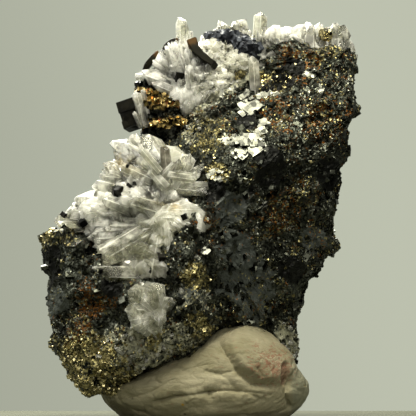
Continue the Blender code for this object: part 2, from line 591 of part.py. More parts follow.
def cluster(name, crystals, beds, fill, cutters):
    """A quartz cluster: its beds, its large crystals and the small ones between them."""
    shells = [bed(*sizes) for sizes in beds]
    for number, crystal in enumerate(crystals):
        shells.append(prism(*crystal, CRYSTAL_TURN * number))
    shells += fill_crystals(*FILL[fill])
    return seated(name, shells, "quartz", cutters)


def build():
    """Every piece, each clear of the ones made before it."""
    for old in list(bpy.data.objects):
        bpy.data.objects.remove(old)

    facing_out(new_object("sulphide_matrix", *matrix_mesh(MATRIX_RINGS), "sulphide"))
    matrix_cutter = cutter(*matrix_mesh(MATRIX_RINGS, GAP))
    taken = [matrix_cutter]  # grown copies of what stands already; each new piece is cut clear of them

    seated("pyrite_block", [block_crystal()], "dark_pyrite", taken)
    taken.append(cutter(*block_crystal(GAP)))
    for name, cubes, finish in (
        ("pyrite_cluster", PYRITE_CLUSTER, "pyrite"),
        ("galena_cluster", GALENA_CLUSTER, "galena"),
    ):
        seated(name, [cube_crystal(*cube) for cube in cubes], finish, taken)
        taken += [cutter(*cube_crystal(*cube, GAP)) for cube in cubes]
    for name, *plate in DARK_BLADES:
        seated(name, [blade(*plate)], "blade", taken)
        taken.append(cutter(*blade(*plate, GAP)))
    for name, *cube in SINGLE_PYRITES:
        seated(name, [cube_crystal(*cube)], "dark_pyrite", taken)
        taken.append(cutter(*cube_crystal(*cube, GAP)))

    cluster("quartz_middle", MIDDLE_CRYSTALS, MIDDLE_BEDS, "middle", taken)
    cluster("quartz_upper", UPPER_CRYSTALS, UPPER_BEDS, "upper", taken)
    taken.append(cutter(*bed(*UPPER_BEDS[-1], GAP)))  # the upper cluster reaches the top one here
    cluster("quartz_top", TOP_CRYSTALS, TOP_BEDS, "top", taken)
    cluster("quartz_lower", LOWER_CRYSTALS, LOWER_BEDS, "lower", taken)

    putty = facing_out(new_object("putty_lump", *putty_mesh(), "putty"))
    combine(putty, matrix_cutter, "DIFFERENCE")
    merged(putty)
    keep_largest(putty)
    putty.data.shade_smooth()
    putty.data.set_sharp_from_angle(angle=math.radians(PUTTY_SMOOTH_ANGLE))

    for helper in taken:
        bpy.data.objects.remove(helper)


build()
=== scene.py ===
"""Quartz and pyrite on dark sulphide ore, held in a lump of putty: the looks.

Sizes are in millimetres, in the frame of the model: -Y faces the camera, +X is right and z = 0 is the floor.
"""

import math

import bpy
import numpy as np
from bpy.props import FloatProperty, FloatVectorProperty, IntProperty, PointerProperty
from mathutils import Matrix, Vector


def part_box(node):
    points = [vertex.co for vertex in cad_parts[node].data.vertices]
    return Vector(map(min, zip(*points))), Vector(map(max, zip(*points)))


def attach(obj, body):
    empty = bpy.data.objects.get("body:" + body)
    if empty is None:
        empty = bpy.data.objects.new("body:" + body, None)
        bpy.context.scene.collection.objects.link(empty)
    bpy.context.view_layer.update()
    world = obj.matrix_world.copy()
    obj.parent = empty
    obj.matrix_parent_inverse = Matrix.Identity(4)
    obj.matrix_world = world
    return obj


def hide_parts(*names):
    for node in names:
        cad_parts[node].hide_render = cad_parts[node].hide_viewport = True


bl_info = {
    "name": "Quartz and Pyrite Specimen",
    "version": (1, 0, 0),
    "blender": (4, 5, 0),
    "location": "3D View > Sidebar > Specimen",
    "description": "Builds ore, quartz, pyrite and putty round the packed model",
    "category": "Add Mesh",
}

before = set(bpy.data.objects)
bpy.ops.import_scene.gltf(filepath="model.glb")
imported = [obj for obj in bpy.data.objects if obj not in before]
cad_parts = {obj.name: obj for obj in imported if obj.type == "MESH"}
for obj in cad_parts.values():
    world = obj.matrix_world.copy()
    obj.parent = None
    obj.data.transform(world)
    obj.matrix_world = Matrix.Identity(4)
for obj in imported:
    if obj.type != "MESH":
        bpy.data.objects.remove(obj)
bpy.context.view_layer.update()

MM = 0.001
CAMERA_DISTANCE, CAMERA_HEIGHT = 400.0, 8.0  # from the middle of the specimen, and above the floor
CAMERA_AIM = (1.44, 0.0, 37.6)
FLOOR_HALF = (90.0, 70.0)
FLOOR_DEPTHS = (0.02, 3.0)  # of its top, just under the putty, and of its bottom

# Large quartz crystals of each cluster: base (x, y, z), tip (x, y, z), half width, flatness.
CRYSTALS = {
    "quartz_middle": [
        ((-5.8, -11.5, 34.3), (-17.8, -12.3, 27.3), 2.8, 0.7),
        ((-5.9, -12.6, 24.8), (-18.8, -13.0, 25.2), 2.0, 0.75),
        ((-4.9, -10.5, 41.0), (-15.4, -1.8, 49.5), 2.4, 0.75),
        ((-4.9, -10.5, 41.4), (-10.2, -3.6, 50.9), 2.3, 0.75),
        ((-4.9, -10.5, 38.9), (-17.0, -3.6, 44.9), 2.3, 0.8),
        ((-5.6, -10.5, 37.5), (-18.9, -3.4, 41.2), 2.2, 0.8),
        ((-7.0, -10.2, 36.2), (-22.3, -3.0, 38.3), 2.1, 0.8),
        ((-8.8, -8.5, 34.5), (-24.5, -2.4, 36.7), 1.7, 0.85),
        ((-7.0, -10.8, 32.6), (-20.9, -6.2, 33.6), 2.2, 0.8),
        ((-6.1, -11.8, 31.2), (-19.0, -9.0, 31.0), 2.0, 0.8),
        ((-5.2, -12.0, 39.9), (1.7, -15.2, 39.1), 1.35, 0.6),
        ((-4.9, -11.5, 40.3), (-1.9, -13.8, 45.6), 0.9, 0.8),
        ((-4.9, -11.0, 40.0), (1.2, -12.6, 44.0), 1.2, 0.7),
        ((-3.8, -11.5, 40.3), (-9.5, -10.5, 46.7), 1.5, 0.75),
        ((-4.9, -12.5, 35.5), (-12.6, -12.0, 37.9), 1.8, 0.7),
        ((-7.0, -13.2, 27.2), (-12.8, -14.2, 30.3), 1.8, 0.75),
        ((-5.5, -8.5, 41.0), (-12.8, -1.5, 50.4), 2.4, 0.8),
        ((-5.5, -9.0, 40.0), (-16.2, -1.6, 47.4), 2.4, 0.8),
        ((-6.0, -9.0, 38.5), (-17.2, -2.2, 42.5), 2.3, 0.8),
        ((-7.0, -9.0, 37.0), (-19.6, -1.8, 39.3), 2.2, 0.8),
        ((-8.0, -8.5, 35.6), (-22.3, -1.6, 37.1), 2.0, 0.8),
        ((-8.0, -9.0, 33.8), (-22.4, -4.0, 35.2), 1.9, 0.8),
        ((-7.0, -11.0, 32.0), (-19.8, -7.4, 32.3), 2.0, 0.8),
        ((-14.0, -6.0, 34.5), (-26.4, -2.2, 35.3), 1.6, 0.85),
    ],
    "quartz_upper": [
        ((-2.9, -1.0, 61.0), (-3.3, 0.2, 72.5), 1.35, 0.85),
        ((-1.7, -0.6, 61.0), (-1.9, 0.3, 70.2), 0.5, 0.9),
        ((-1.8, -1.6, 59.0), (-10.6, -2.2, 62.2), 1.7, 0.75),
        ((-2.1, -2.0, 59.7), (-7.7, -2.6, 65.5), 1.6, 0.8),
        ((-1.8, -2.2, 60.0), (-5.4, -2.4, 67.3), 1.35, 0.8),
        ((-2.5, -2.4, 57.7), (-8.6, -4.0, 60.1), 1.5, 0.8),
        ((-4.3, -1.0, 60.2), (-11.8, -1.0, 61.2), 0.55, 0.9),
        ((-0.6, -4.0, 59.1), (-1.6, -6.2, 64.0), 1.6, 0.8),
        ((-0.7, -4.0, 58.4), (1.2, -6.6, 62.7), 1.5, 0.8),
        ((-2.6, -3.4, 59.5), (-4.6, -4.6, 65.6), 1.5, 0.7),
    ],
    "quartz_top": [
        ((10.5, 2.0, 64.9), (11.0, 1.0, 73.5), 1.1, 0.8),
        ((4.7, 1.5, 64.5), (4.3, 0.5, 71.9), 1.8, 0.8),
        ((7.6, 2.0, 64.5), (7.4, 1.2, 72.2), 1.6, 0.8),
        ((13.7, 2.0, 64.5), (13.5, 0.2, 71.0), 2.0, 0.8),
        ((17.7, 2.0, 64.9), (18.0, 0.0, 71.1), 2.0, 0.8),
        ((21.3, 2.0, 65.3), (21.6, 0.5, 71.5), 1.9, 0.8),
        ((24.2, 1.6, 65.6), (24.7, 0.5, 71.4), 1.8, 0.85),
        ((11.9, 1.0, 64.0), (9.6, -4.2, 67.2), 1.7, 0.8),
        ((18.0, 2.0, 64.9), (16.0, 0.5, 70.0), 1.6, 0.8),
        ((14.0, 0.0, 63.5), (12.8, -4.4, 65.8), 1.4, 0.8),
        ((24.0, 1.6, 65.0), (26.6, 0.6, 70.9), 1.6, 0.85),
        ((24.5, 1.0, 65.0), (27.3, -0.6, 67.4), 1.4, 0.85),
        ((12.8, 0.0, 63.8), (11.6, -3.2, 69.2), 1.5, 0.8),
    ],
    "quartz_lower": [
        ((-6.9, -14.0, 17.5), (-12.4, -17.6, 22.9), 2.1, 0.8),
        ((-7.3, -14.0, 16.8), (-8.2, -18.2, 23.6), 1.9, 0.8),
        ((-7.3, -14.0, 18.0), (-12.7, -18.4, 18.6), 1.9, 0.8),
        ((-6.9, -14.0, 18.5), (-8.8, -18.0, 15.1), 1.8, 0.8),
        ((-7.3, -14.0, 17.5), (-4.8, -17.2, 21.2), 1.4, 0.8),
    ],
}
# Beds that the crystals stand on: what they are made of (white, grey or mottled quartz, or the ore's rock),
# centre, half sizes, and the way the third of these points.
BEDS = {
    "quartz_middle": [
        ("white", (-9.0, -6.5, 41.0), (10.0, 7.0, 3.4), (-0.64, -0.64, 0.43)),
        ("white", (-16.0, -1.5, 37.0), (9.0, 4.5, 3.2), (-0.4, -0.6, 0.7)),
        ("white", (-5.5, -12.0, 33.5), (7.5, 5.5, 3.2), (-0.5, -0.8, 0.3)),
        ("white", (-16.8, -5.0, 36.2), (4.8, 3.0, 3.4), (-0.35, -0.85, 0.4)),
        ("white", (-9.8, -9.0, 39.3), (4.6, 3.8, 2.9), (-0.3, -0.9, 0.35)),
        ("grey", (-9.5, -12.0, 27.0), (5.5, 4.0, 3.0), (-0.5, -0.8, 0.3)),
    ],
    "quartz_upper": [
        ("white", (-1.0, -1.0, 59.0), (6.0, 5.5, 3.5), (-0.5, -0.6, 0.6)),
        ("rock", (3.5, -5.5, 54.5), (4.5, 4.0, 2.6), (-0.3, -0.8, 0.5)),
        ("mottled", (2.9, -1.6, 65.2), (3.2, 2.6, 2.2), (-0.1, -0.8, 0.5)),
        ("mottled", (1.6, -4.6, 60.6), (4.2, 3.6, 1.5), (-0.15, -0.75, 0.6)),
    ],
    "quartz_top": [
        ("white", (9.0, 1.5, 64.6), (7.0, 5.5, 2.8), (0.0, -0.4, 0.9)),
        ("white", (19.5, 3.0, 66.4), (8.0, 4.0, 2.4), (-0.05, -0.4, 0.9)),
        ("white", (17.0, 3.0, 67.9), (5.8, 2.4, 2.7), (0.0, -0.2, 1.0)),
        ("rock", (16.2, -1.0, 64.5), (6.2, 3.2, 2.5), (0.0, -0.6, 0.8)),
        ("rock", (24.2, -1.8, 63.4), (4.2, 2.6, 2.2), (0.1, -0.6, 0.8)),
        ("mottled", (7.2, -4.3, 63.2), (2.0, 1.6, 1.4), (0.0, -0.9, 0.4)),
    ],
    "quartz_lower": [("grey", (-9.0, -15.3, 19.2), (3.4, 4.4, 2.6), (-0.3, -0.95, 0.1))],
}
# The highest place (x, z) a small crystal reaches, as seen from the front.
QUARTZ_LIMITS = {
    "quartz_middle": [
        (-26.0, 36.5), (-24.5, 37.6), (-23.0, 38.7), (-21.6, 38.9), (-20.2, 40.3), (-18.7, 42.8), (-17.3, 46.1),
        (-15.8, 48.9), (-14.4, 50.2), (-12.6, 51.3), (-8.6, 51.3), (-7.5, 48.5), (-2.0, 48.0), (3.0, 45.0),
    ],
    "quartz_upper": [
        (-12.7, 0.0), (-12.2, 61.2), (-11.5, 62.4), (-10.1, 63.5), (-8.6, 65.3), (-7.2, 65.7), (-5.8, 68.0),
        (-1.4, 68.8), (0.0, 69.7), (4.0, 69.0),
    ],
    "quartz_top": [
        (0.0, 69.7), (1.5, 69.5), (2.9, 71.1), (4.3, 71.8), (7.2, 72.0), (8.6, 71.3), (13.0, 70.9), (15.8, 70.0),
        (17.3, 70.9), (21.6, 71.5), (24.5, 71.3), (25.9, 69.5), (27.0, 68.6),
    ],
}
# How white the quartz is, from grey and clear at 0 to white at 1: centre (x, z), radius, tone. The last disc is
# painted light: it whitens the shaded underside of the middle cluster's left part.
QUARTZ_TONES = [
    (
        (-9.0, 46.0), 5.0, 0.38
    ), ((-13.0, 49.5), 2.5, 0.8), ((-21.0, 37.5), 4.5, 0.5), ((-2.5, 48.5), 2.5, 0.05),
    ((-11.5, 31.5), 4.5, 0.1), ((-12.0, 26.5), 4.0, 0.25), ((-9.0, 19.5), 4.0, 0.3), ((0.0, 44.5), 3.0, 0.4),
    ((-7.0, 38.5), 4.0, 0.4), ((-14.0, 40.0), 4.0, 0.5), ((-4.0, 63.0), 6.0, 0.85), ((3.0, 57.5), 4.0, 0.4),
    ((4.4, 66.0), 3.0, 0.2), ((7.4, 63.2), 2.2, 0.0), ((16.0, 69.0), 9.0, 0.65), ((25.5, 67.5), 3.5, 0.3),
    # the last disc, at (-19.3, 33.3), is painted light on a shaded underside
    ((-3.2, 71.0), 2.5, 0.3), ((11.0, 73.0), 2.6, 0.0), ((-19.3, 33.3), 3.4, 0.85),
]
# Brown stains in the quartz: centre (x, z), radius.
QUARTZ_STAINS = [((-14.4, 45.4), 1.3), ((-12.6, 44.9), 0.6), ((-4.3, 36.7), 0.9)]
# Crystals between the large ones of the three open clusters, each beside a large one: how many, how far from
# its foot, how much they splay, and the least and greatest share of its length and of its width.
LONGEST_BESIDE = 12.0  # the length of which a crystal beside a longer one has its share
BESIDE_CRYSTALS = {
    "quartz_middle": (220, 3.4, 0.15, (0.3, 0.75), (0.2, 0.75)),
    "quartz_upper": (300, 2.6, 0.2, (0.35, 0.8), (0.18, 0.6)),
    "quartz_top": (170, 2.6, 0.3, (0.3, 0.7), (0.3, 0.95)),
}
# Discs in front of which no crystal grows, so that the leading crystals stay whole: centre and radius.
LEADING_DISCS = [
    ((-15.5, -13.5, 29.0), 1.8), ((-12.0, -13.5, 31.0), 2.2), ((-8.5, -13.5, 33.0), 2.2),
    (
        (-15.5, -14.0, 25.0), 1.7
    ), ((-11.0, -14.0, 25.0), 1.7), ((-3.0, -14.0, 39.8), 1.2), ((0.0, -15.0, 39.3), 1.2),
    (
        (-8.8, -17.0, 19.0), 3.4
    ), ((-7.2, -3.0, 56.6), 3.7), ((-12.0, -2.0, 58.0), 1.6), ((-9.0, -2.0, 60.0), 1.2),
    ((8.2, -4.0, 66.3), 1.5), ((-13.4, -2.0, 60.6), 0.9), ((3.2, -2.0, 68.8), 1.0), ((5.6, -2.0, 68.8), 1.0),
    (
        (13.4, -3.5, 63.4), 1.8
    ), ((16.5, -3.0, 64.8), 2.4), ((20.5, -3.0, 64.6), 2.4), ((24.5, -3.0, 63.2), 2.4),
]
# Short crystals standing on the model's own quartz: how many, the way they lean, lengths and half widths.
SHORT_CRYSTALS = {
    "quartz_middle": (260, (-0.6, -0.6, 0.5), (1.2, 3.2), (0.3, 0.85)),
    "quartz_upper": (120, (-0.55, -0.5, 0.7), (1.6, 3.8), (0.25, 0.5)),
    "quartz_top": (200, (0.0, -0.5, 0.85), (1.0, 2.0), (0.5, 1.1)),
}
# Dark crystals that sit on the middle cluster: centre and half size.
DARK_CRYSTALS = [
    ((-20.6, -6.7, 34.6), 0.7), ((-14.1, -10.2, 39.9), 0.8), ((-12.4, -10.3, 40.8), 0.4),
    ((-11.4, -10.9, 41.1), 0.35), ((-12.7, -10.0, 44.3), 0.3), ((-24.3, -3.9, 36.1), 0.5),
    ((-6.5, -16.2, 27.8), 0.6), ((-2.6, -16.9, 34.8), 0.6), ((-17.2, -14.6, 25.6), 0.35),
]
# Single clear crystals on the ore and beside the dark block: base, tip, half width, flatness.
LONE_CRYSTALS = [
    ((9.7, -6.4, 57.4), (9.3, -7.2, 64.3), 1.15, 0.8),
    ((-9.8, -2.0, 52.0), (-11.6, -3.6, 58.2), 0.85, 0.7),
    ((-9.2, -2.2, 52.2), (-10.3, -3.4, 58.8), 0.7, 0.8),
    ((-10.6, -2.2, 52.0), (-11.9, -3.5, 54.8), 0.6, 0.8),
    ((-10.2, -2.6, 52.2), (-10.9, -3.9, 56.0), 0.55, 0.8),
]
# Smoky crystals in the middle cluster, written in the same way.
SMOKY_CRYSTALS = [((-5.7, -12.4, 42.6), (-6.2, -13.2, 47.6), 1.25, 0.6)]
# Regions of the ore: centre (x, z), radius, and how much gold, rust, pale and slate rock and smooth black
# face, where those left out at a row's end are 0. In places the black is painted shade: on the block's left
# side facet and along the crack under the ledge at the top right.
ORE_REGIONS = [
    ((-19.8, 8.5), 7.0, 0.72, 0.05, 0.05),
    ((-14.4, 5.8), 4.5, 0.7, 0.1, 0.1),
    ((-18.9, 20.2), 3.6, 0.15, 0.62, 0.0, 0.0, 0.1),
    ((-21.0, 15.7), 3.0, 0.35, 0.6),
    ((-27.7, 32.8), 2.4, 0.8, 0.3),
    ((-24.5, 33.6), 3.0, 0.35, 0.2),
    # painted shade: black on the side facet of the block that faces left, away from the lamps
    ((-27.6, 26.4), 3.6, 0.0, 0.0, 0.0, 0.0, 1.0),
    ((-25.6, 20.5), 2.8, 0.0, 0.0, 0.1, 0.9),
    ((-23.5, 27.0), 2.6, 0.1, 0.1, 0.3, 0.5),
    ((-15.0, 12.0), 5.0, 0.12, 0.1, 0.58, 0.2),
    ((-9.5, 12.0), 6.0, 0.12, 0.0, 0.7, 0.2),
    ((-3.5, 14.5), 4.0, 0.1, 0.0, 0.6, 0.2),
    ((-1.5, 20.0), 4.0, 0.05, 0.0, 0.5, 0.6),
    ((-0.5, 16.6), 2.6, 0.7, 0.1, 0.1),
    ((-0.9, 24.7), 2.6, 0.7, 0.15, 0.1),
    ((-8.1, 13.9), 1.6, 0.7, 0.1, 0.2),
    ((2.6, 42.6), 2.0, 0.95, 0.05, 0.1),
    ((1.9, 49.9), 4.5, 0.5, 0.05, 0.4),
    ((-1.5, 56.5), 4.5, 0.1, 0.0, 0.6, 0.2, 0.1),
    ((-1.0, 51.5), 4.5, 0.15, 0.0, 0.55, 0.2),
    ((1.5, 61.0), 5.5, 0.1, 0.0, 1.0),
    ((6.0, 61.5), 3.5, 0.1, 0.0, 0.9),
    ((12.6, 59.8), 3.0, 0.6, 0.4, 0.1),
    ((17.5, 63.5), 4.5, 0.22, 0.5, 0.05, 0.0, 0.1),
    ((22.5, 67.5), 4.0, 0.45, 0.25, 0.2),
    ((13.5, 53.5), 4.5, 0.25, 0.45, 0.0, 0.0, 0.1),
    ((21.6, 51.7), 5.0, 0.25, 0.45, 0.0, 0.1),
    ((20.0, 57.0), 4.5, 0.2, 0.3, 0.05, 0.0, 0.15),
    ((25.5, 63.0), 2.6, 0.1, 0.1, 0.3, 0.0, 0.2),
    # painted shade: black in the crack under the ledge, with the two discs at (17.1, 62.6) and (12.0, 58.6)
    ((14.4, 60.4), 2.2, 0.0, 0.0, 0.0, 0.0, 0.9),
    ((8.3, 52.0), 2.0, 0.0, 0.0, 0.0, 0.0, 0.8),
    ((12.5, 43.5), 4.5, 0.0, 0.05, 0.0, 0.3, 0.6),
    ((2.0, 39.5), 2.4, 0.0, 0.1, 0.0, 0.0, 0.8),
    ((22.5, 43.0), 2.8, 0.0, 0.2, 0.0, 0.0, 0.7),
    ((0.9, 34.6), 2.2, 0.25, 0.45),
    ((5.5, 36.5), 3.5, 0.0, 0.05, 0.1, 0.7),
    ((14.4, 36.4), 4.5, 0.3, 0.45, 0.0, 0.1),
    ((18.5, 39.5), 3.5, 0.35, 0.35, 0.0, 0.2),
    ((20.5, 31.0), 4.0, 0.1, 0.1, 0.3, 0.6),
    ((16.0, 26.5), 3.0, 0.0, 0.0, 0.0, 0.1, 0.7),
    ((8.5, 23.5), 6.0, 0.06, 0.05, 0.2, 0.8),
    ((6.0, 29.5), 4.5, 0.05, 0.1, 0.3, 0.6),
    ((9.0, 18.5), 4.0, 0.2, 0.2, 0.2, 0.6),
    ((15.5, 13.5), 3.0, 0.05, 0.0, 0.9, 0.9),
    # painted shade: black in the crack under the ledge, with the disc at (14.4, 60.4)
    ((17.1, 62.6), 1.6, 0.0, 0.0, 0.0, 0.0, 0.9),
    ((12.0, 58.6), 1.2, 0.0, 0.0, 0.0, 0.0, 0.8),
    ((-15.5, 23.0), 2.2, 0.0, 0.0, 0.0, 0.0, 0.8),
]
ORE_KINDS = ("gold", "rust", "pale", "slate", "black")
MIRROR_WAY = (-0.04, -0.885, 0.465)  # halfway between the camera and the key lamp
# Parallel cleavage of galena that mirrors the lamp: centre (x, z), half sizes, plate size.
CLEAVAGE_SPOTS = [
    ((4.7, 58.0), (1.3, 1.4), 0.5), ((8.0, 56.8), (1.3, 0.6), 0.5), ((11.2, 57.1), (1.3, 0.7), 0.3),
    ((8.7, 54.3), (1.9, 1.4), 0.8), ((10.8, 50.0), (0.8, 1.0), 0.6), ((9.3, 47.8), (1.4, 1.5), 0.9),
    ((10.8, 46.8), (1.0, 0.8), 0.6), ((6.9, 45.8), (1.4, 0.9), 0.5), ((5.6, 48.7), (1.4, 1.2), 0.35),
    ((11.4, 51.6), (0.7, 0.4), 0.4), ((3.0, 42.2), (1.2, 1.1), 0.3), ((11.3, 37.2), (0.5, 0.6), 0.3),
    ((25.7, 63.0), (0.5, 1.2), 0.4), ((19.8, 61.3), (1.1, 0.6), 0.4), ((21.5, 58.1), (0.5, 0.9), 0.3),
    ((1.0, 29.1), (0.7, 0.4), 0.3), ((13.4, 57.2), (0.9, 0.4), 0.3), ((-0.4, 27.8), (0.5, 0.4), 0.3),
]
# Curved dark blades: CAD node, centreline (x, y, z) from its brown end, width, thickness at its two ends.
DARK_BLADES = [
    (
        "dark_blade_right",
        [(-1.4, -5.5, 67.0), (-0.9, -6.0, 65.5), (0.3, -6.6, 64.3), (1.6, -7.2, 63.2), (2.6, -7.6, 62.5)],
        3.0, (1.8, 1.1),
    ),
    (
        "dark_blade_middle",
        [(-4.0, 0.6, 68.0), (-5.1, 0.2, 67.9), (-6.0, 0.3, 67.2), (-6.5, 0.6, 66.0)],
        2.8, (0.8, 1.0),
    ),
    (
        "dark_blade_left",
        [(-7.6, 0.0, 65.4), (-8.7, -0.4, 64.5), (-9.5, 0.0, 63.5), (-10.1, 0.6, 62.3)],
        2.8, (1.3, 0.9),
    ),
]
# The lump's ridge (x, z), and its middle, its foot's and its bulge's half sizes (x, y), all as in the model.
PUTTY_RIDGE = [
    (-18.5, 5.6), (-12.0, 7.6), (-6.0, 10.6), (0.0, 14.2), (4.5, 16.6), (8.0, 16.8), (12.0, 15.4), (16.0, 13.0),
    (19.0, 9.5),
]
PUTTY_CENTRE, PUTTY_FOOT, PUTTY_BULGE = (0.4, 1.0), (15.0, 11.0), (18.8, 14.0)
PUTTY_BULGE_HEIGHT, PUTTY_SQUARENESS = 5.0, 2.8
# The raised roll and the torn pit as seen from the front: centre, half sizes and turn, and height or depth.
PUTTY_ROLL = ((10.8, 11.2), (7.2, 4.6, -0.55), 1.1)
PUTTY_PIT = ((14.7, 7.6), (1.0, 2.1, 0.2), 1.0)
# Creases of the putty as seen from the front: points (x, z), width, and share of the full depth.
PUTTY_CREASES = [
    ([(3.4, 13.5), (5.2, 10.4), (7.0, 7.8), (9.4, 6.0), (12.6, 5.8)], 0.4, 1.1),
    ([(-8.0, 2.7), (-4.5, 3.6), (0.0, 4.3), (4.3, 4.9), (8.1, 4.6), (11.2, 3.2)], 0.35, 1.2),
    ([(15.9, 9.4), (15.9, 6.4), (15.2, 4.4), (16.0, 2.0)], 0.35, 1.2),
    ([(1.0, 8.4), (3.5, 7.8), (6.0, 5.8)], 0.4, 0.5),
    ([(-6.4, 8.0), (-2.0, 8.9), (1.2, 9.6)], 0.35, 0.4),
    ([(-12.5, 3.4), (-8.5, 4.6), (-5.0, 6.8)], 0.5, 0.35),
    ([(-8.0, 7.0), (-7.2, 6.4)], 0.35, 0.9),
    ([(1.6, 4.3), (1.7, 4.0)], 0.55, 1.3),
    ([(9.8, 8.6), (10.5, 7.4)], 0.3, 0.7),
]
PUTTY_STAIN = ((12.5, 9.5), 6.5)  # the reddish stain: centre (x, z) and reach
PUTTY_GREY_FROM = 15.8  # the x from which the putty is greyer


def linear(hex_colour):
    """A colour written as sRGB hex, as linear light with alpha 1."""
    channels = [int(hex_colour[i : i + 2], 16) / 255 for i in (1, 3, 5)]
    return (*[c / 12.92 if c <= 0.04045 else ((c + 0.055) / 1.055) ** 2.4 for c in channels], 1.0)


def detail(full):
    """The full number, unchanged."""
    return full


# Numbers from places


def hashed(cells, salt):
    """A repeatable number from 0 to 1 for each lattice cell: its three indices are mixed with a salt."""
    ix, iy, iz = np.moveaxis(cells.astype(np.int64), -1, 0)
    value = (ix * 374761393 + iy * 668265263 + iz * 1440662683 + salt * 1274126177) & 0xFFFFFFFF
    value = ((value ^ (value >> 13)) * 1103515245) & 0xFFFFFFFF
    value = ((value ^ (value >> 15)) * 1597334677) & 0xFFFFFFFF
    return ((value ^ (value >> 16)) & 0xFFFFFF) / float(0x1000000)


def facets(points, size, tilt, step, salt):
    """Relief of broken ore: each random cell of the given size is a flat facet with its own tilt and
    level."""
    scaled = points / size
    home = np.floor(scaled)
    best = np.full(len(points), 1e9)
    relief = np.zeros(len(points))
    for shift in np.ndindex(3, 3, 3):
        cell = home + np.array(shift) - 1
        away = scaled - cell - np.stack([hashed(cell, salt + k) for k in range(3)], axis=1)
        distance = (away**2).sum(axis=1)
        lean = np.stack([hashed(cell, salt + k) for k in (3, 4, 5)], axis=1) * 2 - 1
        height = tilt * (lean * away).sum(axis=1) + step * (hashed(cell, salt + 6) * 2 - 1)
        nearer = distance < best
        best = np.where(nearer, distance, best)
        relief = np.where(nearer, height, relief)
    return relief


def clouds(points, size, salt, octaves=3):
    """Smooth noise from 0 to 1: lattice values blended by a cubic ease, each octave half the size and
    strength."""
    total, weight = np.zeros(len(points)), 0.0
    for octave in range(octaves):
        scaled = points * (2**octave / size)
        home = np.floor(scaled)
        ease = scaled - home
        ease = ease * ease * (3 - 2 * ease)
        value = np.zeros(len(points))
        for corner in np.ndindex(2, 2, 2):
            share = np.prod(np.where(np.array(corner) == 1, ease, 1 - ease), axis=1)
            value += share * hashed(home + corner, salt + 17 * octave)
        total += value / 2**octave
        weight += 0.5**octave
    return total / weight


# Meshes


def mesh_piece(name, points_mm, faces, finish, smooth=False, values=None, uv=None):
    """A linked object from points in millimetres and an array of faces. It may have values for each point and
    a UV for each corner."""
    mesh = bpy.data.meshes.new(name)
    faces = np.asarray(faces)
    mesh.vertices.add(len(points_mm))
    mesh.vertices.foreach_set("co", (np.asarray(points_mm) * MM).astype(np.float32).ravel())
    count, corners = faces.shape
    mesh.loops.add(count * corners)
    mesh.loops.foreach_set("vertex_index", faces.astype(np.int32).ravel())
    mesh.polygons.add(count)
    mesh.polygons.foreach_set("loop_start", np.arange(0, count * corners, corners, dtype=np.int32))
    mesh.polygons.foreach_set("use_smooth", np.full(count, smooth))
    mesh.update(calc_edges=True)
    mesh.validate()
    for label, value in (values or {}).items():
        mesh.attributes.new(label, "FLOAT", "POINT").data.foreach_set("value", value.astype(np.float32))
    if uv is not None:
        mesh.uv_layers.new(name="UVMap").data.foreach_set("uv", uv.astype(np.float32).ravel())
    piece = bpy.data.objects.new(name, mesh)
    bpy.context.scene.collection.objects.link(piece)
    mesh.materials.append(finish)
    return piece


def node_surface(node):
    """Points (mm) and triangles of a CAD node, its loose corners merged by place."""
    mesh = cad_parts[node].data
    mesh.calc_loop_triangles()
    points = np.zeros(len(mesh.vertices) * 3)
    mesh.vertices.foreach_get("co", points)
    points = points.reshape(-1, 3) / MM
    triangles = np.zeros(len(mesh.loop_triangles) * 3, np.int64)
    mesh.loop_triangles.foreach_get("vertices", triangles)
    _, first, merged = np.unique(np.round(points, 3), axis=0, return_index=True, return_inverse=True)
    triangles = merged.reshape(-1)[triangles.reshape(-1, 3)]
    points = points[first]
    kept = (triangles[:, 0] != triangles[:, 1]) & (triangles[:, 1] != triangles[:, 2])
    return points, triangles[kept & (triangles[:, 0] != triangles[:, 2])]


def face_normals(points, triangles):
    """Area vectors of triangles: half the cross product of two sides."""
    a, b, c = (points[triangles[:, k]] for k in range(3))
    return 0.5 * np.cross(b - a, c - a)


def point_normals(points, triangles):
    """Unit normals at points, the mean of their triangles' area vectors."""
    total = np.zeros_like(points)
    across = face_normals(points, triangles)
    for k in range(3):
        np.add.at(total, triangles[:, k], across)
    return total / np.maximum(np.linalg.norm(total, axis=1), 1e-12)[:, None]


def halved(points, triangles):
    """Each triangle as four, through the middles of its sides."""
    sides = np.concatenate([triangles[:, [0, 1]], triangles[:, [1, 2]], triangles[:, [2, 0]]])
    pairs, which = np.unique(np.sort(sides, axis=1), axis=0, return_inverse=True)
    middles = 0.5 * (points[pairs[:, 0]] + points[pairs[:, 1]])
    ab, bc, ca = which.reshape(3, -1) + len(points)
    a, b, c = triangles.T
    made = np.concatenate(
        [np.stack(t, axis=1) for t in ((a, ab, ca), (ab, b, bc), (ca, bc, c), (ab, bc, ca))]
    )
    return np.concatenate([points, middles]), made


def scattered(points, triangles, count, draw, wanted=None):
    """Random places on a surface, by area: points and unit normals. wanted(places) gives each one's
    chance."""
    area_vectors = face_normals(points, triangles)
    area = np.linalg.norm(area_vectors, axis=1)
    tries = count * 4
    chosen = draw.choice(len(triangles), tries, p=area / area.sum())
    a, b = draw.random((2, tries))
    a, b = np.where(a + b > 1, 1 - a, a), np.where(a + b > 1, 1 - b, b)
    corners = points[triangles[chosen]]
    sides = corners[:, 1:] - corners[:, :1]
    places = corners[:, 0] + a[:, None] * sides[:, 0] + b[:, None] * sides[:, 1]
    normals = area_vectors[chosen] / area[chosen][:, None]
    kept = draw.random(tries) < (wanted(places) if wanted else 1.0)
    return places[kept][:count], normals[kept][:count]


def unit(vectors):
    """Vectors brought to length one."""
    vectors = np.asarray(vectors, float)
    return vectors / np.maximum(np.linalg.norm(vectors, axis=-1, keepdims=True), 1e-12)


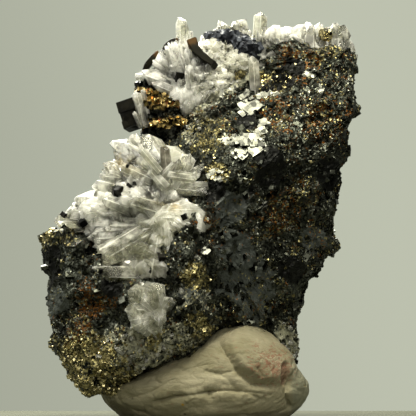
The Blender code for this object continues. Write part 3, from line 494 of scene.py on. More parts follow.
def turned_frames(ways, turn):
    """For each unit vector, two more at right angles to it, turned about it by an angle."""
    other = np.where(np.abs(ways[:, 2:3]) < 0.9, (0.0, 0.0, 1.0), (1.0, 0.0, 0.0))
    side = unit(np.cross(ways, other))
    upright = np.cross(ways, side)
    turn = np.asarray(turn)[:, None]
    first = side * np.cos(turn) + upright * np.sin(turn)
    return first, np.cross(ways, first)


def prisms(bases, tips, half_widths, flatness, draw):
    """Six-sided quartz crystals: for each, a ring at the base, a ring at the shoulder whose corners stand at
    different heights, and a short ridge. Returns points, triangles and corner UVs: sides round it,
    millimetres along it."""
    count = len(bases)
    way = tips - bases
    length = np.linalg.norm(way, axis=1)
    way /= length[:, None]
    side, upright = turned_frames(way, draw.uniform(0, 2 * math.pi, count))
    angle = np.arange(6) * math.pi / 3
    out = half_widths[:, None] * (1 + draw.uniform(-0.22, 0.22, (count, 6)))
    x = np.cos(angle) * out
    y = np.sin(angle) * out * flatness[:, None]
    pointed = np.minimum(half_widths, 0.45 * length)
    shoulder = length[:, None] - pointed[:, None] * (1 + draw.uniform(-0.6, 0.6, (count, 6)))
    narrowed = 1 - draw.uniform(0.02, 0.14, (count, 1))

    def ring(along, scale):
        return (
            bases[:, None]
            + way[:, None] * along[..., None]
            + side[:, None] * (x * scale)[..., None]
            + upright[:, None] * (y * scale)[..., None]
        )

    low = ring(np.zeros((count, 6)), 1.0)
    high = ring(shoulder, narrowed)
    shift = draw.uniform(-0.4, 0.4, (count, 2)) * half_widths[:, None]
    point = tips + side * shift[:, :1] + upright * shift[:, 1:]
    ridge = side * (draw.uniform(0.1, 0.5, count) * half_widths)[:, None]
    lower = way * (draw.uniform(0.0, 0.4, count) * half_widths)[:, None]
    ends = (point + ridge)[:, None], (point - ridge - lower)[:, None]
    points = np.concatenate([low, high, *ends], axis=1)
    k = np.arange(6)
    after = (k + 1) % 6
    near = np.array([12, 12, 13, 13, 13, 12])[after]  # the end of the ridge beside each side's second corner
    pattern = np.concatenate(
        [
            np.stack([k, after, 6 + after], axis=1),
            np.stack([k, 6 + after, 6 + k], axis=1),
            np.stack([6 + k, 6 + after, near], axis=1),
            [[7, 13, 12], [10, 12, 13]],
            [[0, 2, 1], [0, 3, 2], [0, 4, 3], [0, 5, 4]],
        ]
    )
    triangles = (pattern[None] + points.shape[1] * np.arange(count)[:, None, None]).reshape(-1, 3)
    # one unit of u for each side, so that whole numbers are the crystal's edges
    round_it = np.concatenate(
        [
            np.stack([k, k + 1, k + 1], axis=1),
            np.stack([k, k + 1, k], axis=1),
            np.stack([k, k + 1, k + 0.5], axis=1),
            np.full((6, 3), 0.5),
        ]
    ).reshape(1, -1)
    tall = np.concatenate([np.zeros((count, 6)), shoulder, length[:, None], length[:, None]], axis=1)
    along = np.take_along_axis(tall, np.broadcast_to(pattern.reshape(1, -1), (count, pattern.size)), axis=1)
    offset = draw.integers(0, 50, (count, 1))
    uv = np.stack([round_it + offset, along + offset], axis=-1).reshape(-1, 2)
    return points.reshape(-1, 3), triangles, uv


def clear_of(bases, tips, margin):
    """True for each crystal that doesn't pass in front of a single pyrite or a leading crystal, seen from the
    front: its line's nearest place to the disc's centre is outside the disc or behind it."""
    discs = list(LEADING_DISCS)
    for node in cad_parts:
        if node.startswith("pyrite_crystal"):
            low, high = np.array(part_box(node)) / MM
            discs.append(((low + high) / 2, 0.6 * (high - low)[[0, 2]].max() / 2))
    free = np.ones(len(bases), bool)
    for centre, reach in discs:
        centre = np.array(centre)
        way = (tips - bases)[:, [0, 2]]
        along = ((centre[[0, 2]] - bases[:, [0, 2]]) * way).sum(axis=1)
        share = along / np.maximum((way**2).sum(axis=1), 1e-9)
        share = np.clip(share, 0, 1)
        off = np.linalg.norm(bases[:, [0, 2]] + way * share[:, None] - centre[[0, 2]], axis=1)
        depth = bases[:, 1] + (tips - bases)[:, 1] * share
        free &= (off > reach + 0.8 * margin) | (depth > centre[1] + reach)
    return free


def quartz_values(points):
    """The tone and stain of quartz at points: the mean of the nearby tones, weighted by bell curves of the
    distance, with a faint weight on the tone of places far from all."""
    weight = np.full(len(points), 1e-6)
    total = weight * 0.6
    for (x, z), radius, tone in QUARTZ_TONES:
        near = np.exp(-((points[:, 0] - x) ** 2 + (points[:, 2] - z) ** 2) / radius**2)
        total, weight = total + near * tone, weight + near
    stain = np.zeros(len(points))
    for (x, z), radius in QUARTZ_STAINS:
        stain = np.maximum(stain, np.exp(-((points[:, 0] - x) ** 2 + (points[:, 2] - z) ** 2) / radius**2))
    return {"tone": total / weight, "stain": stain}


def under_limit(cluster, tips):
    """True for each tip that stays under its cluster's limit, seen from the camera in front."""
    across, highest = np.array(QUARTZ_LIMITS[cluster]).T
    nearer = CAMERA_DISTANCE / (CAMERA_DISTANCE + tips[:, 1])
    height = CAMERA_HEIGHT + (tips[:, 2] - CAMERA_HEIGHT) * nearer
    return height < np.interp(tips[:, 0] * nearer, across, highest)


def cubes(centres, half_sizes, ways, turn):
    """Boxes as arrays, 8 corners and 6 faces each. The half sizes are across, across and along the given
    ways, and the boxes are turned about these."""
    first, second = turned_frames(ways, turn)
    corners = np.array([(a, b, c) for a in (-1, 1) for b in (-1, 1) for c in (-1, 1)], float)
    out = corners[None] * half_sizes[:, None]
    points = centres[:, None] + out[..., :1] * first[:, None]
    points = points + out[..., 1:2] * second[:, None] + out[..., 2:] * ways[:, None]
    quads = np.array([(0, 1, 3, 2), (4, 6, 7, 5), (0, 4, 5, 1), (2, 3, 7, 6), (0, 2, 6, 4), (1, 5, 7, 3)])
    faces = (quads[None] + 8 * np.arange(len(centres))[:, None, None]).reshape(-1, 4)
    return points.reshape(-1, 3), faces


def sizes_about(middle, spread, count, draw, shape=(1.0, 1.0, 1.0)):
    """Half sizes of boxes: one size each, log-normal about the middle, times the shape with some disorder."""
    size = np.exp(draw.normal(math.log(middle), spread, count))
    size = np.minimum(size, 2.2 * middle)
    return size[:, None] * np.array(shape) * draw.uniform(0.75, 1.25, (count, 3))


def closed_rings(rings, size):
    """Triangles of a closed surface that goes from a first single point over rings, each of the same size, to
    a last single point, in the order of the points."""
    k = np.arange(size)
    after = (k + 1) % size
    start = 1 + size * np.arange(rings - 1)[:, None]
    walls = np.stack(
        [start + k, start + after, start + after + size, start + k + size], axis=-1
    ).reshape(-1, 4)
    last = 1 + size * (rings - 1)
    first_end = np.stack([np.zeros(size, int), 1 + after, 1 + k], axis=1)
    last_end = np.stack([last + k, last + after, np.full(size, last + size)], axis=1)
    return np.concatenate([walls[:, [0, 1, 2]], walls[:, [0, 2, 3]], first_end, last_end])


def blade(line, width, thickness):
    """A curved plate: a rounded rectangle that grows thinner or thicker along a smoothed path. Gives points,
    triangles, and each point's share of the way along it."""
    line = np.array(line, float)
    run = np.concatenate([[0.0], np.cumsum(np.linalg.norm(np.diff(line, axis=0), axis=1))])
    rows = 33
    at = np.linspace(0.0, run[-1], rows)
    path = np.stack([np.interp(at, run, line[:, k]) for k in range(3)], axis=1)
    for _ in range(24):
        path[1:-1] = 0.25 * path[:-2] + 0.5 * path[1:-1] + 0.25 * path[2:]
    along = unit(np.gradient(path, axis=0))
    across = unit(np.cross(along, (0.0, 1.0, 0.0)))
    broad = np.cross(across, along)
    corners = np.array([(-1, -0.8), (-0.75, -1), (0.75, -1), (1, -0.8)])
    corners = np.concatenate([corners, -corners])
    size = len(corners)
    half_thick = np.linspace(*thickness, rows) / 2 * (1 + 0.06 * np.sin(at * 3.0))
    ring = across[:, None] * corners[:, 0, None] * half_thick[:, None, None]
    ring = ring + broad[:, None] * corners[:, 1, None] * width / 2
    points = np.concatenate([path[:1], (path[:, None] + ring).reshape(-1, 3), path[-1:]])
    reach = np.concatenate([[0.0], np.repeat(np.linspace(0, 1, rows), size), [1.0]])
    return points, closed_rings(rows, size), reach


def ellipsoid(centre, half_sizes, way, columns, rows):
    """A closed ellipsoid: longitude and latitude on a grid, turned so that its third axis points along way.
    Gives points, triangles and the way out from the centre at each point."""
    turned = np.array(Vector(way).to_track_quat("Z", "Y").to_matrix())
    longitude = np.linspace(0, 2 * math.pi, columns, endpoint=False)
    latitude = np.linspace(-math.pi / 2, math.pi / 2, rows + 1)[1:-1]
    u, v = np.meshgrid(longitude, latitude)
    ball = np.stack([np.cos(u) * np.cos(v), np.sin(u) * np.cos(v), np.sin(v)], axis=-1).reshape(-1, 3)
    ball = np.concatenate([[[0, 0, -1.0]], ball, [[0, 0, 1.0]]])
    points = np.array(centre) + (ball * half_sizes) @ turned.T
    return points, closed_rings(len(latitude), columns), ball @ turned.T


# Materials

# Kinds of node that recur, with their settings
ADD, SUBTRACT, MULTIPLY, MAXIMUM, ABSOLUTE, FRACT = (
    ("Math", {"operation": name}) for name in ("ADD", "SUBTRACT", "MULTIPLY", "MAXIMUM", "ABSOLUTE", "FRACT")
)
ADD_CLAMPED = ("Math", {"operation": "ADD", "use_clamp": True})
SCALE_PLACE, SUBTRACT_PLACE, DOT = (
    ("VectorMath", {"operation": name}) for name in ("SCALE", "SUBTRACT", "DOT_PRODUCT")
)
RANGE = ("MapRange", {"interpolation_type": "SMOOTHSTEP"})
MIX = ("Mix", {"data_type": "RGBA"})
EDGES = ("TexVoronoi", {"feature": "DISTANCE_TO_EDGE"})


def feed(made, *values, **links):
    """Values go to a node's inputs in use, in their order, and links to the named ones, with _ for a space.
    Each is a plain value or another node's output."""
    fed = list(zip([socket for socket in made.inputs if socket.enabled], values))
    fed += [(made.inputs[label.replace("_", " ")], value) for label, value in links.items()]
    for socket, value in fed:
        if isinstance(value, bpy.types.NodeSocket):
            made.id_data.links.new(value, socket)
        else:
            socket.default_value = value


def add(tree, kind, *values, **links):
    """Adds one shader node, feeds its inputs and gives its first output in use. Its kind is a name, or a name
    with settings."""
    name, choices = (kind, {}) if isinstance(kind, str) else kind
    made = tree.nodes.new("ShaderNode" + name)
    for label, value in choices.items():
        setattr(made, label, value)
    feed(made, *values, **links)
    return next((socket for socket in made.outputs if socket.enabled), None)


def per_metre(size_mm):
    """A texture's scale: how many of its features, of a size in millimetres, fit in a metre."""
    return 1 / (size_mm * MM)


def new_finish(name):
    """An empty material with its tree, its Principled shader and Object coordinates."""
    finish = bpy.data.materials.new(name)
    finish.use_nodes = True
    tree = finish.node_tree
    shader = tree.nodes["Principled BSDF"]
    place = add(tree, "TexCoord").node.outputs["Object"]
    return finish, tree, shader, place


def cell_facets(tree, place, cell_size, tilt):
    """Flat tilted facets for a bump: (place - cell centre) dotted with the cell's random colour. The cells'
    size is in millimetres. Gives the height in metres and the colour's three parts."""
    scaled = add(tree, SCALE_PLACE, place, per_metre(cell_size))
    cell = add(tree, "TexVoronoi", Vector=scaled, Scale=1.0).node.outputs
    away = add(tree, SUBTRACT_PLACE, scaled, cell["Position"])
    lean = add(tree, SUBTRACT_PLACE, cell["Color"], (0.5, 0.5, 0.5))
    height = add(tree, MULTIPLY, add(tree, DOT, away, lean), 2 * tilt / per_metre(cell_size))
    return height, add(tree, "SeparateColor", cell["Color"]).node.outputs


def ore_finish():
    """Broken sulphide ore: near-black metallic grains, with brassy, rusty, quartz-grey, slate-blue and black
    parts, where the black is in places painted shade."""
    finish, tree, shader, place = new_finish("broken_sulphide_ore")
    coarse, lump = cell_facets(tree, place, 1.11, 0.5)
    fine, grain = cell_facets(tree, place, 0.303, 0.55)
    look = add(tree, "TexNoise", Vector=place, Scale=per_metre(4.17), Detail=5.0, Roughness=0.65)
    mottle = add(tree, "TexNoise", Vector=place, Scale=per_metre(1.11), Detail=4.0, Roughness=0.7)
    patch = {
        name: add(tree, ("Attribute", {"attribute_name": name})).node.outputs["Fac"] for name in ORE_KINDS
    }
    level = add(tree, MULTIPLY, grain[0], add(tree, RANGE, look, 0.35, 0.7, 0.4, 1.0))
    colour = add(tree, MIX, add(tree, RANGE, level, 0.05, 0.6), linear("#1a1c18"), linear("#50534b"))
    colour = add(tree, MIX, add(tree, RANGE, level, 0.7, 0.82), colour, linear("#8d8f86"))
    chance = {
        "slate": add(tree, ADD, add(tree, MULTIPLY, look, 0.75), add(tree, MULTIPLY, mottle, 0.25)),
        "pale": add(tree, ADD, add(tree, MULTIPLY, grain[1], 0.3), add(tree, MULTIPLY, mottle, 0.7)),
        "rust": add(tree, ADD, add(tree, MULTIPLY, grain[2], 0.6), add(tree, MULTIPLY, lump[0], 0.4)),
        "gold": add(tree, ADD, add(tree, MULTIPLY, grain[1], 0.7), add(tree, MULTIPLY, lump[1], 0.3)),
        "black": look,
    }
    rim = add(tree, EDGES, Vector=place, Scale=per_metre(0.526))
    net = add(tree, RANGE, rim, 0.06, 0.22, 1.0, 0.12)
    tints = {
        "slate": add(tree, MIX, mottle, linear("#272a28"), linear("#595e5b")),
        "pale": add(tree, MIX, add(tree, RANGE, mottle, 0.35, 0.65), linear("#4b4d43"), linear("#aaa994")),
        "rust": add(tree, MIX, grain[0], linear("#1e1506"), linear("#87520e")),
        "gold": add(tree, MIX, grain[0], linear("#464129"), linear("#a0976a")),
        # a smooth, dull black face, which in places is painted shade
        "black": linear("#0b0c0a"),
    }
    masks = {}
    for name, tint in tints.items():
        over = add(tree, SUBTRACT, patch[name], add(tree, SUBTRACT, 1.0, chance[name]))
        masks[name] = add(tree, RANGE, over, 0.0, 0.08)
        if name == "rust":
            masks[name] = add(tree, MULTIPLY, masks[name], net)
        colour = add(tree, MIX, masks[name], colour, tint)
    calm = add(tree, MAXIMUM, masks["slate"], masks["black"])
    dull = add(tree, MAXIMUM, masks["pale"], add(tree, MULTIPLY, masks["rust"], 0.8))
    dull = add(tree, MAXIMUM, dull, add(tree, MULTIPLY, calm, 0.9))
    dull = add(tree, MULTIPLY, dull, add(tree, SUBTRACT, 1.0, masks["gold"]))
    rough = add(tree, RANGE, lump[2], 0.0, 1.0, 0.22, 0.55)
    relief = add(tree, ADD, coarse, fine)
    strength = add(tree, SUBTRACT, 1.0, add(tree, MULTIPLY, calm, 0.7))
    feed(
        shader,
        Base_Color=colour,
        Specular_IOR_Level=0.15,
        Metallic=add(tree, SUBTRACT, 0.8, add(tree, MULTIPLY, dull, 0.8)),
        Roughness=add(tree, ADD, rough, add(tree, MULTIPLY, dull, 0.15)),
        Normal=add(tree, "Bump", Height=relief, Strength=strength, Distance=1.0),
    )
    return finish


QUARTZ_IOR = 1.544
VEILED_SHARE = 0.35  # how much of the clearness is left where the veils are thickest


def quartz_finish(name, clear_share, mottled=0.0, depth=3.0 * MM, dark="#c2c2ae"):
    """Rock crystal: milky veils inside scatter light, growth lines run along it, and a painted highlight makes
    its edges whiter and less clear. clear_share is how much light passes where there is no veil, mottled how
    strong the grey specks are, depth how far light spreads inside in metres, and dark the colour of the least
    white parts."""
    finish, tree, shader, place = new_finish(name)
    tone, stain = (
        add(tree, ("Attribute", {"attribute_name": label})).node.outputs["Fac"] for label in ("tone", "stain")
    )
    veil = add(tree, "TexNoise", Vector=place, Scale=per_metre(2.38), Detail=4.0, Roughness=0.6)
    along = add(tree, "UVMap")
    # about nine growth lines across each side, and one change of them in 5 mm along it
    lines_at = add(tree, "Mapping", Vector=along, Scale=(9.0, 0.2, 1.0))
    lines = add(tree, "TexNoise", Vector=lines_at, Scale=1.0, Detail=3.0, Roughness=0.65)
    side = add(tree, FRACT, add(tree, "SeparateXYZ", along))
    # painted highlight: lines along the edges of each crystal, which make it whiter and less clear there
    painted_edge_highlight = add(tree, RANGE, add(tree, ABSOLUTE, add(tree, SUBTRACT, side, 0.5)), 0.4, 0.49)
    cloudiness_with_edge_highlight = add(tree, ADD, add(tree, MULTIPLY, veil, 0.82), add(tree, MULTIPLY, lines, 0.18))
    # from here on the veils' value also carries the painted highlight of the edges, into colour, clearness and
    # roughness
    cloudiness_with_edge_highlight = add(tree, ADD, cloudiness_with_edge_highlight, add(tree, MULTIPLY, painted_edge_highlight, 0.15))
    centred_cloudiness_with_edge_highlight = add(tree, SUBTRACT, cloudiness_with_edge_highlight, 0.5)
    white = add(tree, ADD_CLAMPED, tone, centred_cloudiness_with_edge_highlight)
    colour = add(tree, MIX, white, linear(dark), linear("#fbfaf2"))
    colour = add(tree, MIX, add(tree, MULTIPLY, stain, 0.7), colour, linear("#a58a48"))
    if mottled:
        specks = add(tree, "TexNoise", Vector=place, Scale=per_metre(0.909), Detail=3.0, Roughness=0.7)
        colour = add(tree, MIX, add(tree, RANGE, specks, 0.53, 0.63, 0.0, mottled), colour, linear("#3d3e37"))
    whiter = add(tree, MULTIPLY, add(tree, SUBTRACT, tone, 0.5), 0.22)
    veiling_with_edge_highlight = add(tree, ADD, cloudiness_with_edge_highlight, whiter)
    feed(
        shader,
        Base_Color=colour,
        Transmission_Weight=add(
            tree, RANGE, veiling_with_edge_highlight, 0.4, 0.7, clear_share, clear_share * VEILED_SHARE
        ),
        Roughness=add(tree, RANGE, cloudiness_with_edge_highlight, 0.35, 0.65, 0.07, 0.22),
        IOR=QUARTZ_IOR,
        Subsurface_Weight=1.0,
        Subsurface_Radius=(1.0, 1.0, 1.0),
        Subsurface_Scale=depth,
        Normal=add(tree, "Bump", Height=lines, Strength=0.5, Distance=0.08 * MM),
    )
    return finish


def metal_finish(name, dark, light, grain_size, rough_low, rough_high, tilt, metallic=1.0):
    """A metallic crystal skin: two tones by grain, faint facets, roughness that changes from grain to grain.
    The grain size is in millimetres."""
    finish, tree, shader, place = new_finish(name)
    height, grain = cell_facets(tree, place, grain_size, tilt)
    look = add(tree, "TexNoise", Vector=place, Scale=per_metre(2.0), Detail=4.0, Roughness=0.6)
    tone = add(tree, MULTIPLY, add(tree, ADD, grain[0], look), 0.5)
    lightness = add(tree, RANGE, tone, 0.25, 0.75)
    feed(
        shader,
        Base_Color=add(tree, MIX, lightness, linear(dark), linear(light)),
        Metallic=metallic,
        Specular_IOR_Level=metallic / 2,
        Roughness=add(tree, RANGE, grain[1], 0.0, 1.0, rough_low, rough_high),
        Normal=add(tree, "Bump", Height=height, Strength=1.0, Distance=1.0),
    )
    return finish


# Bright bands of the pyrite cluster: height of the middle, and how far from it the band begins and ends to fade.
BRASSY_BANDS = [(57.3, 1.6, 2.1), (52.5, 0.7, 1.1)]


def banded_pyrite_finish():
    """The pyrite cluster's skin: two bright brassy bands with orange and pink tarnish, dark faces between
    them."""
    finish, tree, shader, place = new_finish("banded_brassy_pyrite")
    height, grain = cell_facets(tree, place, 0.526, 0.4)
    look = add(tree, "TexNoise", Vector=place, Scale=per_metre(2.38), Detail=3.0, Roughness=0.6)
    height_up = add(tree, "SeparateXYZ", place).node.outputs["Z"]
    wander = add(tree, MULTIPLY, add(tree, SUBTRACT, look, 0.5), 3.0 * MM)
    level = add(tree, ADD, height_up, wander)
    bands = []
    for middle, inside, outside_edge in BRASSY_BANDS:
        away = add(tree, ABSOLUTE, add(tree, SUBTRACT, level, middle * MM))
        bands.append(add(tree, RANGE, away, inside * MM, outside_edge * MM, 1.0, 0.0))
    chosen = add(tree, RANGE, grain[1], 0.12, 0.2)
    bright = add(tree, MULTIPLY, add(tree, MAXIMUM, *bands), chosen)
    brass = add(tree, MIX, grain[0], linear("#4f4424"), linear("#dcc284"))
    brass = add(tree, MIX, add(tree, RANGE, grain[2], 0.9, 0.93), brass, linear("#cc8f62"))
    dark = add(tree, MIX, look, linear("#0c0d0a"), linear("#2c2d28"))
    feed(
        shader,
        Base_Color=add(tree, MIX, bright, dark, brass),
        Metallic=1.0,
        Roughness=add(tree, RANGE, grain[1], 0.0, 1.0, 0.15, 0.4),
        Normal=add(tree, "Bump", Height=height, Strength=1.0, Distance=1.0),
    )
    return finish


def putty_finish():
    """Kneaded putty: matt warm grey, smeared lighter and darker, with fine reddish veins, specks and
    wrinkles."""
    finish, tree, shader, place = new_finish("kneaded_putty")
    smear_at = add(tree, "Mapping", Vector=place, Scale=(0.5, 1.0, 1.6))
    smear = add(tree, "TexNoise", Vector=smear_at, Scale=per_metre(6.67), Detail=6.0, Roughness=0.65)
    fine = add(tree, "TexNoise", Vector=place, Scale=per_metre(0.769), Detail=4.0, Roughness=0.65)
    stain, pit, grey = (
        add(tree, ("Attribute", {"attribute_name": name})).node.outputs["Fac"]
        for name in ("stain", "pit", "grey")
    )
    colour = add(tree, MIX, add(tree, RANGE, smear, 0.3, 0.7), linear("#757057"), linear("#99937c"))
    colour = add(tree, MIX, add(tree, MULTIPLY, grey, 0.8), colour, linear("#7f7f6d"))
    vein_at = add(tree, "Mapping", Vector=place, Rotation=(0.0, 0.6, 0.0), Scale=(0.6, 1.0, 1.5))
    vein = add(
        tree, "TexNoise", Vector=vein_at, Scale=per_metre(0.909), Detail=6.0, Roughness=0.75, Distortion=1.5
    )
    level = add(tree, ADD, vein, add(tree, MULTIPLY, stain, 0.16))
    colour = add(tree, MIX, add(tree, RANGE, level, 0.62, 0.72, 0.0, 0.8), colour, linear("#7d5443"))
    reddish = add(tree, MIX, fine, linear("#3a2a1e"), linear("#96705c"))
    colour = add(tree, MIX, add(tree, MULTIPLY, pit, 0.7), colour, reddish)
    away = add(tree, "TexVoronoi", Vector=place, Scale=per_metre(2.38))
    chosen = add(tree, "SeparateColor", away.node.outputs["Color"]).node.outputs
    few = add(tree, RANGE, chosen[0], 0.74, 0.76)
    dot = add(tree, MULTIPLY, add(tree, RANGE, away, 0.16, 0.05), few)
    tint = add(tree, MIX, add(tree, RANGE, chosen[1], 0.85, 0.87), linear("#2e281e"), linear("#a8842c"))
    colour = add(tree, MIX, dot, colour, tint)
    height = add(
        tree, ADD, add(tree, MULTIPLY, smear, 0.6 * MM), add(tree, MULTIPLY, fine, 0.12 * MM)
    )
    feed(
        shader,
        Base_Color=colour,
        Roughness=0.72,
        Specular_IOR_Level=0.25,
        Subsurface_Weight=0.08,
        Subsurface_Radius=(1.2, 0.9, 0.6),
        Subsurface_Scale=MM,
        Normal=add(tree, "Bump", Height=height, Strength=0.9, Distance=1.0),
    )
    return finish


def blade_finish():
    """The curved blades' skin: brown-black and dull, browner towards their upper ends, with fine lines."""
    finish, tree, shader, place = new_finish("dull_brown_blade")
    look = add(tree, "TexNoise", Vector=place, Scale=per_metre(1.43), Detail=5.0, Roughness=0.65)
    reach = add(tree, ("Attribute", {"attribute_name": "reach"})).node.outputs["Fac"]
    dark = add(tree, MIX, look, linear("#090905"), linear("#1a190f"))
    brown = add(tree, MIX, look, linear("#21180b"), linear("#543c1c"))
    share = add(tree, RANGE, add(tree, ADD, reach, add(tree, MULTIPLY, look, 0.3)), 0.28, 0.42, 1.0, 0.0)
    feed(
        shader,
        Base_Color=add(tree, MIX, share, dark, brown),
        Specular_IOR_Level=0.08,
        Roughness=0.6,
        Normal=add(tree, "Bump", Height=look, Strength=0.6, Distance=0.2 * MM),
    )
    return finish


# Settings that a user would change


class OreSettings(bpy.types.PropertyGroup):
    """The ore and the grains on it."""

    facet_size: FloatProperty(
        name="Facet size", description="Across one broken facet, in millimetres", default=2.2, min=0.5, max=5
    )
    splits: IntProperty(
        name="Splits", description="How often each triangle is split in four", default=3, min=1, max=3
    )
    grain_count: IntProperty(
        name="Grains", description="Small pyrite grains on the ore", default=5200, min=0, max=15000
    )
    druse_count: IntProperty(
        name="Druse", description="Tiny quartz crystals on the pale rock", default=2200, min=0, max=6000
    )
    plate_count: IntProperty(
        name="Plates", description="Small dark cleavage plates", default=3000, min=0, max=15000
    )


class QuartzSettings(bpy.types.PropertyGroup):
    """The quartz crystals."""

    share: FloatProperty(
        name="Fine crystals", description="Share of the small crystals made", default=1.0, min=0.0, max=2.0
    )
    swell: FloatProperty(
        name="Swell", description="How much thicker than the model a crystal is, in millimetres", default=0.2
    )


class PuttySettings(bpy.types.PropertyGroup):
    """The lump of putty."""

    crease_depth: FloatProperty(
        name="Crease depth", description="Depth of the kneaded creases, in millimetres", default=0.9, min=0.0
    )


class StageSettings(bpy.types.PropertyGroup):
    """Camera, lights and floor."""

    backdrop: FloatVectorProperty(
        name="Backdrop", description="Colour behind it", subtype="COLOR", default=linear("#b8bcaa")[:3]
    )
    distance: FloatProperty(
        name="Camera distance",
        description="From the camera to the middle of the specimen",
        default=CAMERA_DISTANCE * MM,
        unit="LENGTH",
    )
    height: FloatProperty(
        name="Camera height",
        description="Of the camera above the floor",
        default=CAMERA_HEIGHT * MM,
        unit="LENGTH",
    )
    lens: FloatProperty(name="Lens", description="Focal length in millimetres", default=192.0)
    key_power: FloatProperty(name="Key lamp", description="Lamp above, in watts", default=0.95, unit="POWER")
    rear_power: FloatProperty(
        name="Rear lamp", description="Lamp behind, in watts", default=0.9, unit="POWER"
    )
    left_power: FloatProperty(
        name="Left lamp", description="Lamp at the left, in watts", default=0.25, unit="POWER"
    )
    fill_power: FloatProperty(
        name="Fill lamp", description="Lamp in front, in watts", default=1.0, unit="POWER"
    )


def settings():
    """All settings of the scene."""
    return bpy.context.scene.specimen


class SpecimenSettings(bpy.types.PropertyGroup):
    """Every group of settings."""

    ore: PointerProperty(type=OreSettings)
    quartz: PointerProperty(type=QuartzSettings)
    putty: PointerProperty(type=PuttySettings)
    stage: PointerProperty(type=StageSettings)


def placed(piece, nodes):
    """The piece rides on the root body and stands for its CAD nodes, which it hides."""
    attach(piece, "root")
    if nodes:
        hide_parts(*nodes)
    return piece


def region_values(points):
    """How much of each kind of ore there is at points, the black in places painted shade: the regions' soft
    discs, broken up by clouds, and weaker on the back."""
    broken = clouds(points, 3.0, 90, 3)
    found = {label: 0.3 * clouds(points, 6.0, 91 + k) for k, label in enumerate(ORE_KINDS)}
    for (x, z), radius, *shares in ORE_REGIONS:
        distance = np.hypot(points[:, 0] - x, points[:, 2] - z) / radius
        near = np.clip(1.7 - distance * (0.5 + 1.3 * broken), 0, 1) * np.where(points[:, 1] < 6, 1.0, 0.3)
        for label, share in zip(found, shares):
            found[label] = np.maximum(found[label], share * near)
    return found


def ore_surface(splits, facet_size):
    """The ore's fine surface: the model's triangles split in four again and again, then broken into smaller
    facets."""
    points, triangles = node_surface("sulphide_matrix")
    for _ in range(splits):
        points, triangles = halved(points, triangles)
    ways = point_normals(points, triangles)
    relief = facets(points, facet_size, 0.42, 0.18, 301) + facets(points, facet_size * 0.45, 0.22, 0.08, 302)
    relief += (clouds(points, 4.5, 303) - 0.5) * 1.5
    return points + ways * relief[:, None], triangles


def as_arrays(rows):
    """A table's columns as arrays."""
    return [np.array(column, float) for column in zip(*rows)]


def quartz_piece(name, made, finish):
    """Quartz crystals as one piece, each with the tone and stain of the place where it is."""
    points, triangles, uv = made
    return mesh_piece(name, points, triangles, finish, values=quartz_values(points), uv=uv)


class BuildOre(bpy.types.Operator):
    """Breaks the ore's surface into fine facets and scatters small grains on it"""

    bl_idname = "specimen.build_ore"
    bl_label = "Ore"

    def execute(self, context):
        ore = settings().ore
        points, triangles = ore_surface(detail(ore.splits), ore.facet_size)
        rock = mesh_piece("sulphide_ore", points, triangles, ore_finish(), values=region_values(points))
        placed(rock, ["sulphide_matrix"])

        draw = np.random.default_rng(7)

        def golden(places):
            return np.clip((region_values(places)["gold"] - 0.3) * 1.6, 0.015, 1.0)

        places, normals = scattered(points, triangles, detail(ore.grain_count), draw, golden)
        ways = unit(normals + draw.normal(0, 0.5, normals.shape))
        turn = draw.uniform(0, 7, len(places))
        grains = cubes(places, sizes_about(0.17, 0.35, len(places), draw), ways, turn)
        finish = metal_finish("granular_pyrite", "#5a5538", "#cfc396", 0.4, 0.15, 0.4, 0.2)
        placed(mesh_piece("pyrite_grains", *grains, finish), [])

        places, normals = scattered(points, triangles, detail(ore.plate_count), draw)
        ways = unit(normals + draw.normal(0, 0.3, normals.shape))
        turn = draw.uniform(0, 7, len(places))
        plates = cubes(
            places - ways * 0.2, sizes_about(0.38, 0.45, len(places), draw, (1.0, 0.7, 0.4)), ways, turn
        )
        finish = metal_finish("dark_cleavage", "#141512", "#50524a", 0.667, 0.15, 0.4, 0.12)
        placed(mesh_piece("galena_plates", *plates, finish), [])

        surface_normals = point_normals(points, triangles)
        found, spread, size = [], [], []
        for (x, z), (half_x, half_z), plate in CLEAVAGE_SPOTS:
            beside = ((points[:, 0] - x) / half_x) ** 2 + ((points[:, 2] - z) / half_z) ** 2
            inside = np.flatnonzero((beside < 1) & (surface_normals[:, 1] < -0.2))
            chosen = inside[draw.integers(0, len(inside), int(4 + 2.2 * half_x * half_z / plate**2))]
            found.append(points[chosen])
            spread.append(np.repeat(draw.normal(0, 0.03, (1, 3)), len(chosen), axis=0))
            size.append(np.full(len(chosen), plate))
        places, size = np.concatenate(found), np.concatenate(size)
        ways = unit(np.array(MIRROR_WAY) + np.concatenate(spread) + draw.normal(0, 0.075, places.shape))
        turn = 0.6 + draw.normal(0, 0.3, len(places))
        sizes = sizes_about(1.0, 0.35, len(places), draw, (1.0, 0.75, 0.5)) * size[:, None]
        steps = cubes(places - ways * sizes[:, 2:] * 0.6, sizes, ways, turn)
        finish = metal_finish("bright_cleavage", "#2b2c2a", "#777870", 0.769, 0.3, 0.5, 0.14)
        placed(mesh_piece("galena_steps", *steps, finish), [])

        def drusy(places):
            pale = np.clip((region_values(places)["pale"] - 0.45) * 2.2, 0.0, 1.0)
            return pale * np.where(places[:, 2] > 45, 1.0, 0.4)

        places, normals = scattered(points, triangles, detail(ore.druse_count), draw, drusy)
        ways = unit(normals + draw.normal(0, 0.5, normals.shape))
        length, width = np.exp(draw.normal(np.log((1.1, 0.33)), 0.35, (len(places), 2))).T
        starts = places - ways * (length * 0.5)[:, None]
        druse = prisms(
            starts, starts + ways * length[:, None], width, draw.uniform(0.6, 1, len(places)), draw
        )
        placed(quartz_piece("quartz_druse", druse, quartz_finish("grey_druse", 0.7)), [])
        return {"FINISHED"}


